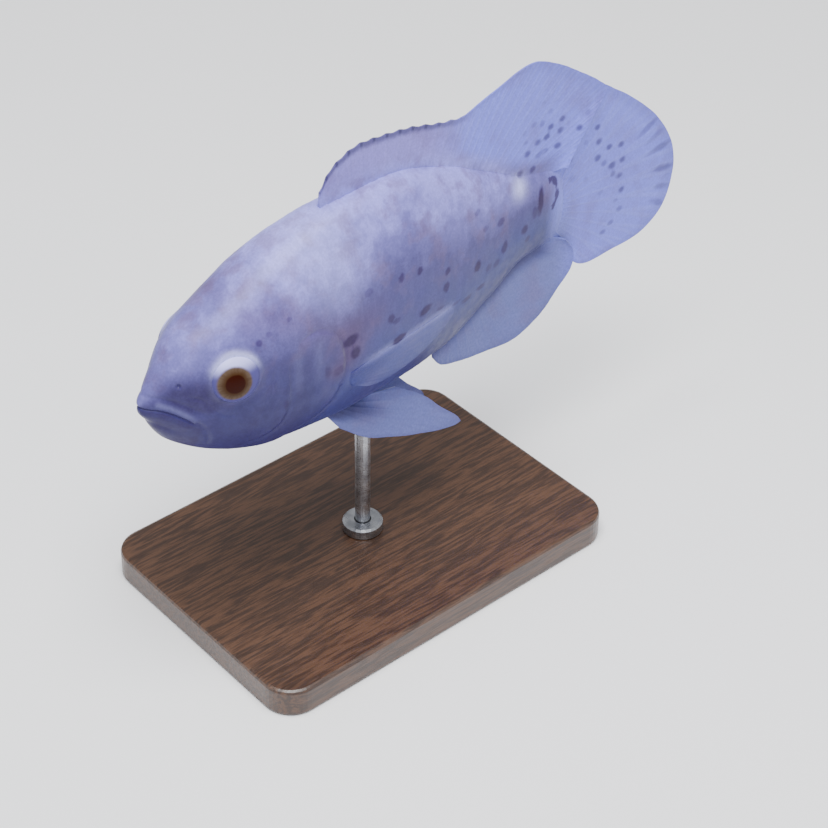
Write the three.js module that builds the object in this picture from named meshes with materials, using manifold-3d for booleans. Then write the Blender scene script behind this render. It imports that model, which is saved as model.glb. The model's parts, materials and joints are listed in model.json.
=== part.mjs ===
// A life-size oscar fish (Astronotus ocellatus), half grown, swimming level with its fins spread.
// A rod on a flat base holds it up.
//
// Millimetres. +Z is up, the snout points along -X and the fish's left side faces -Y.
// The origin is the middle of the base's underside.
// Inside the fish, x runs back from the snout tip, y is zero on the midplane, and z is zero on the
// line from the snout tip to the middle of the tail's root.
// Outlines are given as shares of the standard length: snout tip to the root of the tail fin.

import * as THREE from "three";
import { mergeVertices } from "three/addons/utils/BufferGeometryUtils.js";
import Module from "manifold-3d";

const wasm = await Module();
wasm.setup();

// Driving dimensions
const STANDARD_LENGTH = 150;
const GAP = 0.3;
const AXIS_HEIGHT = 92;
const ROD_AT = 0.5;

// The body's outline from the side, as [distance behind the snout, height]
const BACK_LINE = [
  [0, -0.008], [0.015, 0.023], [0.04, 0.054], [0.08, 0.1], [0.13, 0.129], [0.19, 0.16], [0.26, 0.197],
  [0.34, 0.223], [0.42, 0.236], [0.55, 0.243], [0.68, 0.212], [0.8, 0.155], [0.9, 0.108], [1, 0.089],
];
const BELLY_LINE = [
  [0, -0.008], [0.012, -0.042], [0.04, -0.09], [0.08, -0.123], [0.13, -0.152], [0.19, -0.178],
  [0.26, -0.193], [0.34, -0.202], [0.42, -0.209], [0.55, -0.207], [0.66, -0.197], [0.8, -0.137],
  [0.9, -0.085], [1, -0.078],
];
// Half the body's width, the height at which it is widest, and how square its section is
const HALF_WIDTH = [
  [0, 0], [0.015, 0.018], [0.04, 0.036], [0.08, 0.064], [0.13, 0.087], [0.19, 0.1], [0.26, 0.108],
  [0.34, 0.109], [0.42, 0.106], [0.55, 0.094], [0.68, 0.074], [0.8, 0.05], [0.9, 0.031], [1, 0.016],
];
const WIDEST_AT = [[0, -0.008], [0.08, -0.02], [0.2, -0.01], [0.4, 0], [0.7, 0.005], [1, 0.006]];
const SQUARENESS = [[0, 2.2], [0.1, 2.35], [0.3, 2.25], [0.6, 2.05], [1, 1.9]];

const BODY = { end: 1.015, stations: 28, around: 26, crowding: 1.6 };
// The swelling round each eye: its middle, how far it spreads and how far it stands out
const ORBIT = { at: [0.142, 0.05], spread: [0.05, 0.045], rise: 0.009 };

// The mouth runs back and down from the snout tip to its corner
const MOUTH_LINE = [[-0.03, 0.004], [0.004, -0.01], [0.03, -0.017], [0.058, -0.034], [0.08, -0.054]];
const LIP = { upper: 0.026, lower: 0.031, atCorner: 0.011, stand: 0.4, cornerEnd: [0.084, -0.058] };
const JAW_HINGE = [[0.081, -0.055], [0.118, -0.1], [0.15, -0.175], [0.16, -0.25]];

const GILL_COVER = {
  outline: [
    [0.262, 0.052], [0.318, 0.06], [0.356, 0.03], [0.372, -0.03], [0.36, -0.09], [0.322, -0.137],
    [0.272, -0.158], [0.252, -0.125], [0.268, -0.07], [0.27, 0],
  ],
  thick: 2.6,
  stand: 0.5,
};

const EYE = { at: [0.147, 0.033], radius: 6.9, depth: 4.6, proud: 1.9, forward: 14, upward: 12 };

// Where the thin cuts cross the body: behind the head, at the vent, and each line leans back upwards
const NAPE_CUT = { x: 0.335, lean: 0.1 };
const VENT_CUT = { x: 0.665, lean: 0.18 };

// Each fin is a fan of rays from roots inside the body to tips on its margin. The margin's own
// points are all kept: its rays are a whole number to each stretch between them.
const DORSAL_SPINES = {
  raysEach: 4,
  steps: 4,
  roots: [[0.4, 0.215], [0.69, 0.19]],
  margin: [
    [0.402, 0.262], [0.428, 0.302], [0.476, 0.326], [0.54, 0.324], [0.61, 0.316], [0.68, 0.301],
    [0.736, 0.291],
  ],
  notch: 1.3,
};
const DORSAL_RAYS = {
  raysEach: 2,
  steps: 5,
  roots: [[0.693, 0.188], [0.9, 0.088]],
  margin: [
    [0.74, 0.291], [0.775, 0.304], [0.822, 0.321], [0.869, 0.343], [0.907, 0.347], [0.968, 0.322],
    [1.02, 0.289], [1.07, 0.254], [1.091, 0.231], [1.052, 0.186], [1.004, 0.137], [0.956, 0.104],
  ],
  swing: 0.022,
};
const ANAL_RAYS = {
  raysEach: 2,
  steps: 4,
  roots: [[0.672, -0.175], [0.915, -0.062]],
  margin: [
    [0.672, -0.218], [0.693, -0.244], [0.745, -0.259], [0.815, -0.268], [0.883, -0.265], [0.941, -0.241],
    [0.989, -0.203], [1.027, -0.162], [1.021, -0.117], [0.97, -0.079],
  ],
  swing: 0.016,
};
const TAIL_RAYS = {
  raysEach: 2,
  steps: 5,
  roots: [[0.985, 0.072], [1.005, 0.035], [1.008, 0.005], [1.005, -0.025], [0.985, -0.061]],
  margin: [
    [1.03, 0.126], [1.05, 0.19], [1.088, 0.23], [1.14, 0.202], [1.2, 0.157], [1.262, 0.097], [1.308, 0.02],
    [1.321, -0.05], [1.3, -0.125], [1.24, -0.167], [1.15, -0.174], [1.06, -0.166], [1.008, -0.106],
  ],
};
// The paired fins' points have a third number: the distance out from the midplane. The pectoral
// fins are folded back along the flanks, just clear of them.
const PELVIC_RAYS = {
  raysEach: 2,
  steps: 4,
  roots: [[0.378, -0.19, 0.036], [0.405, -0.192, 0.03], [0.432, -0.193, 0.022]],
  margin: [
    [0.413, -0.239, 0.038], [0.468, -0.284, 0.044], [0.552, -0.32, 0.049], [0.651, -0.351, 0.053],
    [0.704, -0.357, 0.055], [0.655, -0.3, 0.047], [0.608, -0.252, 0.038], [0.557, -0.218, 0.028],
  ],
  rootHalf: 1.3,
};
const PECTORAL_RAYS = {
  raysEach: 2,
  steps: 4,
  roots: [[0.392, -0.061, 0.1165], [0.393, -0.075, 0.1145], [0.397, -0.092, 0.112]],
  margin: [
    [0.45, -0.052, 0.115], [0.53, -0.05, 0.1065], [0.6, -0.049, 0.0975], [0.65, -0.051, 0.0905],
    [0.662, -0.066, 0.087], [0.64, -0.09, 0.0855], [0.59, -0.111, 0.088], [0.53, -0.124, 0.0915],
    [0.47, -0.126, 0.098], [0.43, -0.115, 0.1045],
  ],
  rootHalf: 0.9,
};
const FIN = { rootHalf: 1.5, edgeHalf: 0.35, taper: 2.2 };

const BASE = { length: 124, width: 84, height: 9, corner: 9, edge: 1 };
const ROD = { radius: 2.25, intoBody: 8, intoBase: 6 };
const COLLAR = { radius: 6, height: 3.2, edge: 0.6 };

const COLOURS = {
  skin: 0xa3a5cd,
  face: 0x9799c4,
  lips: 0x8f90bb,
  fin: 0x9aa3d6,
  eye: 0x3a1e12,
  wood: 0x4a3a30,
  steel: 0xb9bcc2,
};

// Smooth lines through points

/** A function through [x, value] pairs that keeps their rises and falls, even in the root of x. */
function through(pairs) {
  const at = pairs.map(([x]) => Math.sqrt(Math.max(x, 0)));
  const value = pairs.map(([, v]) => v);
  const last = at.length - 1;
  const rise = at.slice(1).map((a, i) => (value[i + 1] - value[i]) / (a - at[i]));
  const slope = value.map((_, i) => {
    if (i === 0) return rise[0];
    if (i === last) return rise[last - 1];
    if (rise[i - 1] * rise[i] <= 0) return 0;
    const before = at[i] - at[i - 1];
    const after = at[i + 1] - at[i];
    const w1 = 2 * after + before;
    const w2 = after + 2 * before;
    return (w1 + w2) / (w1 / rise[i - 1] + w2 / rise[i]);
  });
  return (x) => {
    const a = Math.min(Math.max(Math.sqrt(Math.max(x, 0)), at[0]), at[last]);
    let i = 0;
    while (i < last - 1 && a > at[i + 1]) i += 1;
    const wide = at[i + 1] - at[i];
    const t = (a - at[i]) / wide;
    const stay = value[i] * (1 + 2 * t) * (1 - t) ** 2 + value[i + 1] * t * t * (3 - 2 * t);
    return stay + wide * t * (1 - t) * (slope[i] * (1 - t) - slope[i + 1] * t);
  };
}

const backAt = through(BACK_LINE);
const bellyAt = through(BELLY_LINE);
const halfWidthAt = through(HALF_WIDTH);
const widestAt = through(WIDEST_AT);
const squarenessAt = through(SQUARENESS);

/** A point of the body's skin, moved out by grow millimetres, at a share x and an angle round its section. */
function bodyPoint(x, angle, grow) {
  const side = Math.cos(angle);
  const up = Math.sin(angle);
  const power = 2 / squarenessAt(x);
  const middle = widestAt(x) * STANDARD_LENGTH;
  const reach = up > 0 ? backAt(x) * STANDARD_LENGTH - middle : middle - bellyAt(x) * STANDARD_LENGTH;
  const out = (halfWidthAt(x) * STANDARD_LENGTH + grow) * Math.abs(side) ** power;
  const height = middle + (reach + grow) * Math.sign(up) * Math.abs(up) ** power;
  const swelling = orbitAt(x, height / STANDARD_LENGTH) * Math.abs(side);
  return [x * STANDARD_LENGTH, Math.sign(side) * (out + swelling), height];
}

/** How far the swelling round the eye stands out at a share x and a share z, in millimetres. */
function orbitAt(x, z) {
  const along = (x - ORBIT.at[0]) / ORBIT.spread[0];
  const above = (z - ORBIT.at[1]) / ORBIT.spread[1];
  return STANDARD_LENGTH * ORBIT.rise * Math.exp(-along * along - above * above);
}

// Solids

/** A closed three.js geometry as a manifold-3d solid. */
function toSolid(geometry) {
  const bare = geometry.clone();
  bare.deleteAttribute("normal");
  bare.deleteAttribute("uv");
  const merged = mergeVertices(bare, 1e-4);
  return new wasm.Manifold(
    new wasm.Mesh({
      numProp: 3,
      vertProperties: merged.attributes.position.array,
      triVerts: new Uint32Array(merged.index.array),
    }),
  );
}

/** A manifold-3d solid as a three.js geometry. */
function toGeometry(solid) {
  const { vertProperties, triVerts, numProp } = solid.getMesh();
  const geometry = new THREE.BufferGeometry();
  const places = new Float32Array((vertProperties.length / numProp) * 3);
  for (let i = 0; i < places.length / 3; i += 1) {
    for (let k = 0; k < 3; k += 1) places[3 * i + k] = vertProperties[numProp * i + k];
  }
  geometry.setAttribute("position", new THREE.BufferAttribute(places, 3));
  geometry.setIndex([...triVerts]);
  geometry.computeVertexNormals();
  return geometry;
}

/** A solid from a list of points and a list of triangles. */
function solidOf(points, faces) {
  const geometry = new THREE.BufferGeometry();
  geometry.setAttribute("position", new THREE.Float32BufferAttribute(points.flat(), 3));
  geometry.setIndex(faces.flat());
  return toSolid(geometry);
}

/** The whole body as one solid, moved out by grow millimetres: rings from the snout to the tail's root. */
function bodySolid(grow) {
  const { end, stations, around, crowding } = BODY;
  const points = [[-grow, 0, backAt(0) * STANDARD_LENGTH]];
  for (let i = 1; i <= stations; i += 1) {
    const x = end * (i / stations) ** crowding;
    for (let k = 0; k < around; k += 1) {
      const point = bodyPoint(x, (2 * Math.PI * k) / around, grow);
      point[0] += grow * (2 * (x / end) - 1);
      points.push(point);
    }
  }
  const tail = points.length;
  points.push([end * STANDARD_LENGTH + grow, 0, widestAt(end) * STANDARD_LENGTH]);
  const faces = [];
  const ring = (i, k) => 1 + (i - 1) * around + (k % around);
  for (let k = 0; k < around; k += 1) {
    faces.push([0, ring(1, k + 1), ring(1, k)]);
    for (let i = 1; i < stations; i += 1) {
      faces.push([ring(i, k), ring(i, k + 1), ring(i + 1, k)]);
      faces.push([ring(i, k + 1), ring(i + 1, k + 1), ring(i + 1, k)]);
    }
    faces.push([tail, ring(stations, k), ring(stations, k + 1)]);
  }
  return solidOf(points, faces);
}

/** A solid across the whole fish whose outline, seen from the side, is a list of [x, z] shares. */
function across(outline) {
  const width = STANDARD_LENGTH;
  const corners = outline.map(([x, z]) => new THREE.Vector2(x, z).multiplyScalar(STANDARD_LENGTH));
  const geometry = new THREE.ExtrudeGeometry(new THREE.Shape(corners), { depth: width, bevelEnabled: false });
  geometry.rotateX(Math.PI / 2).translate(0, width / 2, 0);
  return toSolid(geometry);
}

/** A smooth line through points that may have a third number. */
function smoothLine(points) {
  const places = points.map(([x, z, out = 0]) => new THREE.Vector3(x, z, out));
  return new THREE.CatmullRomCurve3(places, false, "centripetal");
}

/** Points evenly along a smooth line through the given ones. */
function evenly(points, count) {
  return smoothLine(points).getSpacedPoints(count - 1).map((p) => p.toArray());
}

/** Points along a smooth line through the given ones, with a number of steps from each to the next. */
function stepping(points, each) {
  return smoothLine(points).getPoints(each * (points.length - 1)).map((p) => p.toArray());
}

/** A line moved sideways, to the left of its way, by a distance or by a function of the share run. */
function beside(line, distance) {
  return line.map(([x, z], i) => {
    const before = line[Math.max(i - 1, 0)];
    const after = line[Math.min(i + 1, line.length - 1)];
    const way = new THREE.Vector2(after[0] - before[0], after[1] - before[1]).normalize();
    const far = typeof distance === "function" ? distance(i / (line.length - 1)) : distance;
    return [x - way.y * far, z + way.x * far];
  });
}

/** A thin wall across the fish along a line of [x, z] shares, which parts what it passes through. */
function cutAlong(line) {
  const half = GAP / 2 / STANDARD_LENGTH;
  return across([...beside(line, half), ...beside(line, -half).reverse()]);
}

/** A straight line that crosses the body and leans back upwards. */
function leaning({ x, lean }) {
  return [[x - 0.3 * lean, -0.3], [x, 0], [x + 0.4 * lean, 0.4]];
}

// Head

const mouthLine = evenly(MOUTH_LINE, 9);
const hingeLine = evenly(JAW_HINGE, 7);
const lipShare = (share) => LIP.atCorner * share;
const upperLipLine = beside(mouthLine, (share) => LIP.upper * (1 - share) + lipShare(share));
const lowerLipLine = beside(mouthLine, (share) => -LIP.lower * (1 - share) - lipShare(share));
const mouthCut = cutAlong([...mouthLine, LIP.cornerEnd]);

/** The part of the fish in front of a leaning line, or behind it, clear of the line by half a gap. */
function sideOf(cut, ahead) {
  const [low, , high] = leaning(cut);
  const clear = (ahead ? -GAP : GAP) / 2 / STANDARD_LENGTH;
  const far = ahead ? -0.5 : 1.5;
  const outline = [[low[0] + clear, low[1]], [high[0] + clear, high[1]], [far, high[1]], [far, low[1]]];
  return across(ahead ? outline : outline.reverse());
}

/** One eye, on the side -1 (left) or 1 (right), moved out by grow millimetres. */
function eyeSolid(side, grow) {
  const [x, z] = EYE.at;
  const reach = Math.abs(surfaceOut(x, z));
  const geometry = new THREE.SphereGeometry(1, 18, 10);
  geometry.scale(EYE.radius + grow, EYE.depth + grow, EYE.radius + grow);
  geometry.rotateX(THREE.MathUtils.degToRad(-EYE.upward)).rotateZ(THREE.MathUtils.degToRad(-EYE.forward));
  geometry.translate(x * STANDARD_LENGTH, -(reach + EYE.proud - EYE.depth), z * STANDARD_LENGTH);
  const solid = toSolid(geometry);
  return side < 0 ? solid : solid.mirror([0, 1, 0]);
}

/** How far the skin lies from the midplane at a share x and a share z. */
function surfaceOut(x, z) {
  const middle = widestAt(x);
  const reach = z > middle ? backAt(x) - middle : middle - bellyAt(x);
  const up = Math.min(Math.abs(z - middle) / reach, 1);
  const squareness = squarenessAt(x);
  return halfWidthAt(x) * STANDARD_LENGTH * (1 - up ** squareness) ** (1 / squareness) + orbitAt(x, z);
}

const body = bodySolid(0);
const lipBody = bodySolid(LIP.stand);
const coverBody = bodySolid(GILL_COVER.stand);
const coverInside = bodySolid(-GILL_COVER.thick);
const bedInside = bodySolid(-GILL_COVER.thick - GAP);

const coverOutline = evenly([...GILL_COVER.outline, GILL_COVER.outline[0]], 29).slice(0, -1);
const coverRegion = across(coverOutline);
const coverLoop = [...coverOutline, ...coverOutline.slice(0, 2)];
const coverRoom = across(beside(coverLoop, GAP / STANDARD_LENGTH).slice(1, -1));
const coverPlates = coverBody.subtract(coverInside).intersect(coverRegion);
const coverBeds = bodySolid(GILL_COVER.stand + GAP).subtract(bedInside).intersect(coverRoom);

const upperLipRegion = across([...mouthLine, ...[...upperLipLine].reverse()]).subtract(mouthCut);
const lowerLipRegion = across([...lowerLipLine, ...[...mouthLine].reverse()]).subtract(mouthCut);
const belowLip = [...lowerLipLine, ...hingeLine.slice(1), [-0.03, -0.25]];
const jawRegion = across([...belowLip].reverse());
const lipCuts = cutAlong(upperLipLine).add(cutAlong(lowerLipLine));
const jawCuts = cutAlong(hingeLine);
const mouthParts = upperLipRegion.add(lowerLipRegion).add(jawRegion).add(mouthCut).add(lipCuts).add(jawCuts);
const eyeRooms = eyeSolid(-1, GAP).add(eyeSolid(1, GAP));

/** The largest of a solid's separate bodies, so that a sliver left by a cut is dropped. */
function largest(solid) {
  return solid.decompose().reduce((best, one) => (one.volume() > best.volume() ? one : best));
}

/** The half of a solid on one side of the midplane. */
function halfOf(solid, side) {
  const [low, high] = side < 0 ? [-60, 0] : [0, 60];
  const box = new THREE.BoxGeometry(400, high - low, 400).translate(0, (low + high) / 2, 0);
  return solid.intersect(toSolid(box));
}

// Fins

/** The middle of a fin as rows of points, one row to a ray from its root to the margin. */
function finSheet({ raysEach, steps, roots, margin, notch = 0, swing = 0 }, side) {
  const to = stepping(margin, raysEach);
  const from = evenly(roots, to.length);
  return to.map(([x1, z1, out1], ray) => {
    const [x0, z0, out0] = from[ray];
    const between = notch > 0 && ray % 2 === 1;
    const pull = between ? notch / STANDARD_LENGTH / Math.hypot(x1 - x0, z1 - z0) : 0;
    return [...Array(steps + 1).keys()].map((step) => {
      const share = step / steps;
      const t = share * (1 - pull * share);
      const swung = -swing * (ray / (to.length - 1)) * share * share;
      const out = side === 0 ? swung : side * (out0 + (out1 - out0) * t);
      return new THREE.Vector3(x0 + (x1 - x0) * t, out, z0 + (z1 - z0) * t).multiplyScalar(STANDARD_LENGTH);
    });
  });
}

/** A thin solid fan on side -1 (left), 0 (the midplane) or 1 (right), thick at the root, thin at the edge. */
function finSolid(fan, side) {
  const sheet = finSheet(fan, side);
  const rays = sheet.length;
  const { steps, rootHalf = FIN.rootHalf } = fan;
  const points = [];
  for (const way of [1, -1]) {
    for (let ray = 0; ray < rays; ray += 1) {
      for (let step = 0; step <= steps; step += 1) {
        const half = FIN.edgeHalf + (rootHalf - FIN.edgeHalf) * (1 - step / steps) ** FIN.taper;
        const { x, y, z } = sheet[ray][step];
        points.push([x, y + way * half, z]);
      }
    }
  }
  const at = (layer, ray, step) => (layer * rays + ray) * (steps + 1) + step;
  const faces = [];
  const quad = (a, b, c, d) => faces.push([a, b, c], [a, c, d]);
  for (let ray = 0; ray < rays - 1; ray += 1) {
    for (let step = 0; step < steps; step += 1) {
      quad(at(0, ray, step), at(0, ray, step + 1), at(0, ray + 1, step + 1), at(0, ray + 1, step));
      quad(at(1, ray, step), at(1, ray + 1, step), at(1, ray + 1, step + 1), at(1, ray, step + 1));
    }
    quad(at(0, ray, 0), at(0, ray + 1, 0), at(1, ray + 1, 0), at(1, ray, 0));
    quad(at(0, ray + 1, steps), at(0, ray, steps), at(1, ray, steps), at(1, ray + 1, steps));
  }
  for (let step = 0; step < steps; step += 1) {
    quad(at(0, 0, step + 1), at(0, 0, step), at(1, 0, step), at(1, 0, step + 1));
    quad(at(0, rays - 1, step), at(0, rays - 1, step + 1), at(1, rays - 1, step + 1), at(1, rays - 1, step));
  }
  const solid = solidOf(points, faces);
  return solid.volume() > 0 ? solid : solidOf(points, faces.map(([a, b, c]) => [a, c, b]));
}

const bodyRoom = bodySolid(GAP);

/** A fin where it stands clear of the body. */
function finOutside(fan, side = 0) {
  return largest(finSolid(fan, side).subtract(bodyRoom).subtract(coverBeds));
}

// Stand

/** A plate with rounded corners and edges, standing on z = 0. */
function plateGeometry({ length, width, height, corner, edge }) {
  const x = length / 2 - edge;
  const y = width / 2 - edge;
  const r = corner - edge;
  const shape = new THREE.Shape();
  shape.absarc(x - r, y - r, r, 0, Math.PI / 2);
  shape.absarc(-x + r, y - r, r, Math.PI / 2, Math.PI);
  shape.absarc(-x + r, -y + r, r, Math.PI, 1.5 * Math.PI);
  shape.absarc(x - r, -y + r, r, 1.5 * Math.PI, 2 * Math.PI);
  const rounding = { bevelSize: edge, bevelThickness: edge, bevelSegments: 2 };
  const depth = height - 2 * edge;
  const geometry = new THREE.ExtrudeGeometry(shape, { depth, curveSegments: 5, ...rounding });
  return geometry.translate(0, 0, edge);
}

const rodX = ROD_AT * STANDARD_LENGTH;
const rodTop = AXIS_HEIGHT + bellyAt(ROD_AT) * STANDARD_LENGTH + ROD.intoBody;
const rodBottom = BASE.height - ROD.intoBase;

/** The rod, upright over the origin, moved out by grow millimetres. */
function rodGeometry(grow) {
  const length = rodTop - rodBottom + 2 * grow;
  const rod = new THREE.CylinderGeometry(ROD.radius + grow, ROD.radius + grow, length, 20);
  return rod.rotateX(Math.PI / 2).translate(0, 0, (rodTop + rodBottom) / 2);
}

/** The collar round the rod's foot. */
function collarGeometry() {
  const inner = ROD.radius + GAP;
  const { radius, height, edge } = COLLAR;
  const profile = [
    [inner, 0], [radius, 0], [radius, height - edge], [radius - edge, height], [inner, height], [inner, 0],
  ].map(([r, h]) => new THREE.Vector2(r, h));
  const ring = new THREE.LatheGeometry(profile, 24);
  return ring.rotateX(Math.PI / 2).translate(0, 0, BASE.height + GAP);
}

// Putting it together

/** A named mesh with a material of its own. */
function meshOf(name, geometry, color, roughness, metalness = 0) {
  const mesh = new THREE.Mesh(geometry, new THREE.MeshStandardMaterial({ color, roughness, metalness }));
  mesh.name = name;
  return mesh;
}

const rodRoom = toSolid(rodGeometry(GAP)).translate([rodX, 0, -AXIS_HEIGHT]);
const flesh = body.subtract(coverBeds);
const behindNape = flesh.intersect(sideOf(NAPE_CUT, false));
const allCuts = lipCuts.add(jawCuts);
const headSolid = largest(flesh.intersect(sideOf(NAPE_CUT, true)).subtract(mouthParts).subtract(eyeRooms));
const trunkSolid = largest(behindNape.intersect(sideOf(VENT_CUT, true)).subtract(rodRoom));
const tailStemSolid = largest(behindNape.intersect(sideOf(VENT_CUT, false)));
const lowerLipSolid = largest(lipBody.intersect(lowerLipRegion).subtract(allCuts));
const upperLipSolid = largest(lipBody.intersect(upperLipRegion).subtract(allCuts));
const jawSolid = largest(body.intersect(jawRegion).subtract(lowerLipRegion).subtract(allCuts));

const fish = new THREE.Group();
fish.position.set(-rodX, 0, AXIS_HEIGHT);
fish.add(meshOf("head", toGeometry(headSolid), COLOURS.face, 0.45));
fish.add(meshOf("upper_lip", toGeometry(upperLipSolid), COLOURS.lips, 0.4));
fish.add(meshOf("lower_lip", toGeometry(lowerLipSolid), COLOURS.lips, 0.4));
fish.add(meshOf("lower_jaw", toGeometry(jawSolid), COLOURS.face, 0.45));
fish.add(meshOf("trunk", toGeometry(trunkSolid), COLOURS.skin, 0.45));
fish.add(meshOf("tail_stem", toGeometry(tailStemSolid), COLOURS.skin, 0.45));

const SIDES = { left: -1, right: 1 };
for (const [word, side] of Object.entries(SIDES)) {
  const cover = largest(halfOf(coverPlates, side));
  fish.add(meshOf(`gill_cover_${word}`, toGeometry(cover), COLOURS.face, 0.42));
  fish.add(meshOf(`eye_${word}`, toGeometry(eyeSolid(side, 0)), COLOURS.eye, 0.1));
  fish.add(meshOf(`pectoral_fin_${word}`, toGeometry(finOutside(PECTORAL_RAYS, side)), COLOURS.fin, 0.4));
  fish.add(meshOf(`pelvic_fin_${word}`, toGeometry(finOutside(PELVIC_RAYS, side)), COLOURS.fin, 0.4));
}

const FINS = {
  dorsal_fin_spines: DORSAL_SPINES,
  dorsal_fin_rays: DORSAL_RAYS,
  anal_fin: ANAL_RAYS,
  tail_fin: TAIL_RAYS,
};
for (const [name, fan] of Object.entries(FINS)) {
  fish.add(meshOf(name, toGeometry(finOutside(fan)), COLOURS.fin, 0.4));
}

const stand = new THREE.Group();
const baseSolid = toSolid(plateGeometry(BASE)).subtract(toSolid(rodGeometry(GAP)));
stand.add(meshOf("stand_base", toGeometry(baseSolid), COLOURS.wood, 0.5));
stand.add(meshOf("stand_rod", rodGeometry(0), COLOURS.steel, 0.3, 1));
stand.add(meshOf("stand_collar", collarGeometry(), COLOURS.steel, 0.3, 1));

const oscar = new THREE.Group();
oscar.add(fish, stand);
export default oscar;
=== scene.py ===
"""A half-grown oscar fish, life size, held still over a small display stand.

Places on the fish are shares of its standard length, which runs from the snout to the root of the
tail fin: x from the snout towards the tail, z up from the long axis, y to the fish's right. Small
heights on the surface are in millimetres. Every mesh ends up in metres, in the frame of the CAD.
"""

import json
import logging
import math
from dataclasses import dataclass
from enum import Enum

import bmesh
import bpy
import numpy as np
from mathutils import Matrix, Vector
from mathutils.kdtree import KDTree

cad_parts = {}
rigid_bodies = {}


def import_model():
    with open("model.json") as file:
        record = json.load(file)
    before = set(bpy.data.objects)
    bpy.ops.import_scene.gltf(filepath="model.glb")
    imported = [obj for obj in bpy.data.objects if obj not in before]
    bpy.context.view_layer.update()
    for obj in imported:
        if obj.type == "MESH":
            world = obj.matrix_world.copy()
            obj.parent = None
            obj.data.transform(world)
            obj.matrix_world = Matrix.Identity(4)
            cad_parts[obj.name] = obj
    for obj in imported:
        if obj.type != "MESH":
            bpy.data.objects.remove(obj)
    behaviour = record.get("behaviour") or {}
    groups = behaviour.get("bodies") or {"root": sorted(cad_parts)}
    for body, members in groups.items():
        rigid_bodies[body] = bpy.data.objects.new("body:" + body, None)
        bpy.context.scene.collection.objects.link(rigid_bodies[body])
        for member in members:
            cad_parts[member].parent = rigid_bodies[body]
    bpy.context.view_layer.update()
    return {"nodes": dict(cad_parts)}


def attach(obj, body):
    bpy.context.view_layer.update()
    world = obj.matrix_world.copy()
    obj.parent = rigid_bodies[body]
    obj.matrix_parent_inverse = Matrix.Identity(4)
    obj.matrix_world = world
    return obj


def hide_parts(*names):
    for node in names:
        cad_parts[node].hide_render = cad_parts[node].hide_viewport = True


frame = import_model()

LOG = logging.getLogger("oscar_fish")
Array = np.ndarray
Pairs = tuple[tuple[float, ...], ...]
Colour = tuple[float, float, float, float]

STANDARD_LENGTH = 0.150
AXIS_HEIGHT = 0.092
ROD_AT = 0.5
MM = 0.001
LENGTH_MM = STANDARD_LENGTH / MM
SEED = 20


class Side(Enum):
    """The fish's own sides, by the sign of y."""

    LEFT = -1
    RIGHT = 1


def srgb(red: int, green: int, blue: int) -> Colour:
    """Turns a colour as seen on a screen into the linear one that shaders take.

    Args:
        red: 0 to 255.
        green: 0 to 255.
        blue: 0 to 255.

    Returns:
        Linear red, green and blue, and an alpha of 1.
    """
    shares = [channel / 255 for channel in (red, green, blue)]
    linear = [s / 12.92 if s <= 0.04045 else ((s + 0.055) / 1.055) ** 2.4 for s in shares]
    return (linear[0], linear[1], linear[2], 1.0)


def eased(low: float, high: float, value: Array) -> Array:
    """A smooth rise from 0 at low to 1 at high, or a fall where low is the larger.

    Args:
        low: Where the result is 0.
        high: Where the result is 1.
        value: What is compared with them.

    Returns:
        The share of the rise, for each value.
    """
    share = np.clip((value - low) / (high - low), 0, 1)
    return share * share * (3 - 2 * share)


def hump(distance: Array, width: float) -> Array:
    """A smooth hill of height 1 at distance 0, which has almost gone at twice the width."""
    return np.exp(-((distance / width) ** 2))


def to_world(x: Array, y: Array, z: Array) -> Array:
    """Moves places on the fish into the frame of the CAD.

    Args:
        x: Shares of the standard length from the snout.
        y: Shares to the fish's right.
        z: Shares up from the long axis.

    Returns:
        Points in metres, one row each.
    """
    places = np.stack(np.broadcast_arrays(x - ROD_AT, y, z), axis=-1) * STANDARD_LENGTH
    places[..., 2] += AXIS_HEIGHT
    return places


def to_fish(points: Array) -> tuple[Array, Array, Array]:
    """The way back from metres to x, y and z as shares of the standard length.

    Args:
        points: Points in metres, one row each.

    Returns:
        x, y and z.
    """
    shares = points / STANDARD_LENGTH
    return shares[..., 0] + ROD_AT, shares[..., 1], shares[..., 2] - AXIS_HEIGHT / STANDARD_LENGTH


def spline(points: Pairs, per_span: int) -> Array:
    """A smooth line through points, by centripetal Catmull-Rom spans.

    Args:
        points: The points, of two or three numbers.
        per_span: Steps between two of them.

    Returns:
        The points along the line.
    """
    known = np.array(points, float)
    ends = np.vstack([2 * known[0] - known[1], known, 2 * known[-1] - known[-2]])
    steps = np.linspace(0, 1, per_span, endpoint=False)[:, None]
    line = []
    for before, start, end, after in zip(ends, ends[1:], ends[2:], ends[3:]):
        first, middle, last = (
            max(float(np.sum((b - a) ** 2)) ** 0.25, 1e-6)
            for a, b in ((before, start), (start, end), (end, after))
        )
        leave = (start - before) / first - (end - before) / (first + middle) + (end - start) / middle
        arrive = (end - start) / middle - (after - start) / (middle + last) + (after - end) / last
        leave, arrive = leave * middle, arrive * middle
        square = -3 * start + 3 * end - 2 * leave - arrive
        cube = 2 * start - 2 * end + leave + arrive
        line.append(start + leave * steps + square * steps**2 + cube * steps**3)
    line.append(known[-1:])
    return np.vstack(line)


def evenly(line: Array, count: int) -> Array:
    """Points at even steps along a line.

    Args:
        line: The points of the line.
        count: How many are wanted, both ends included.

    Returns:
        The new points.
    """
    run = np.concatenate([[0], np.cumsum(np.linalg.norm(np.diff(line, axis=0), axis=1))])
    wanted = np.linspace(0, run[-1], count)
    return np.stack([np.interp(wanted, run, line[:, i]) for i in range(line.shape[1])], axis=1)


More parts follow.
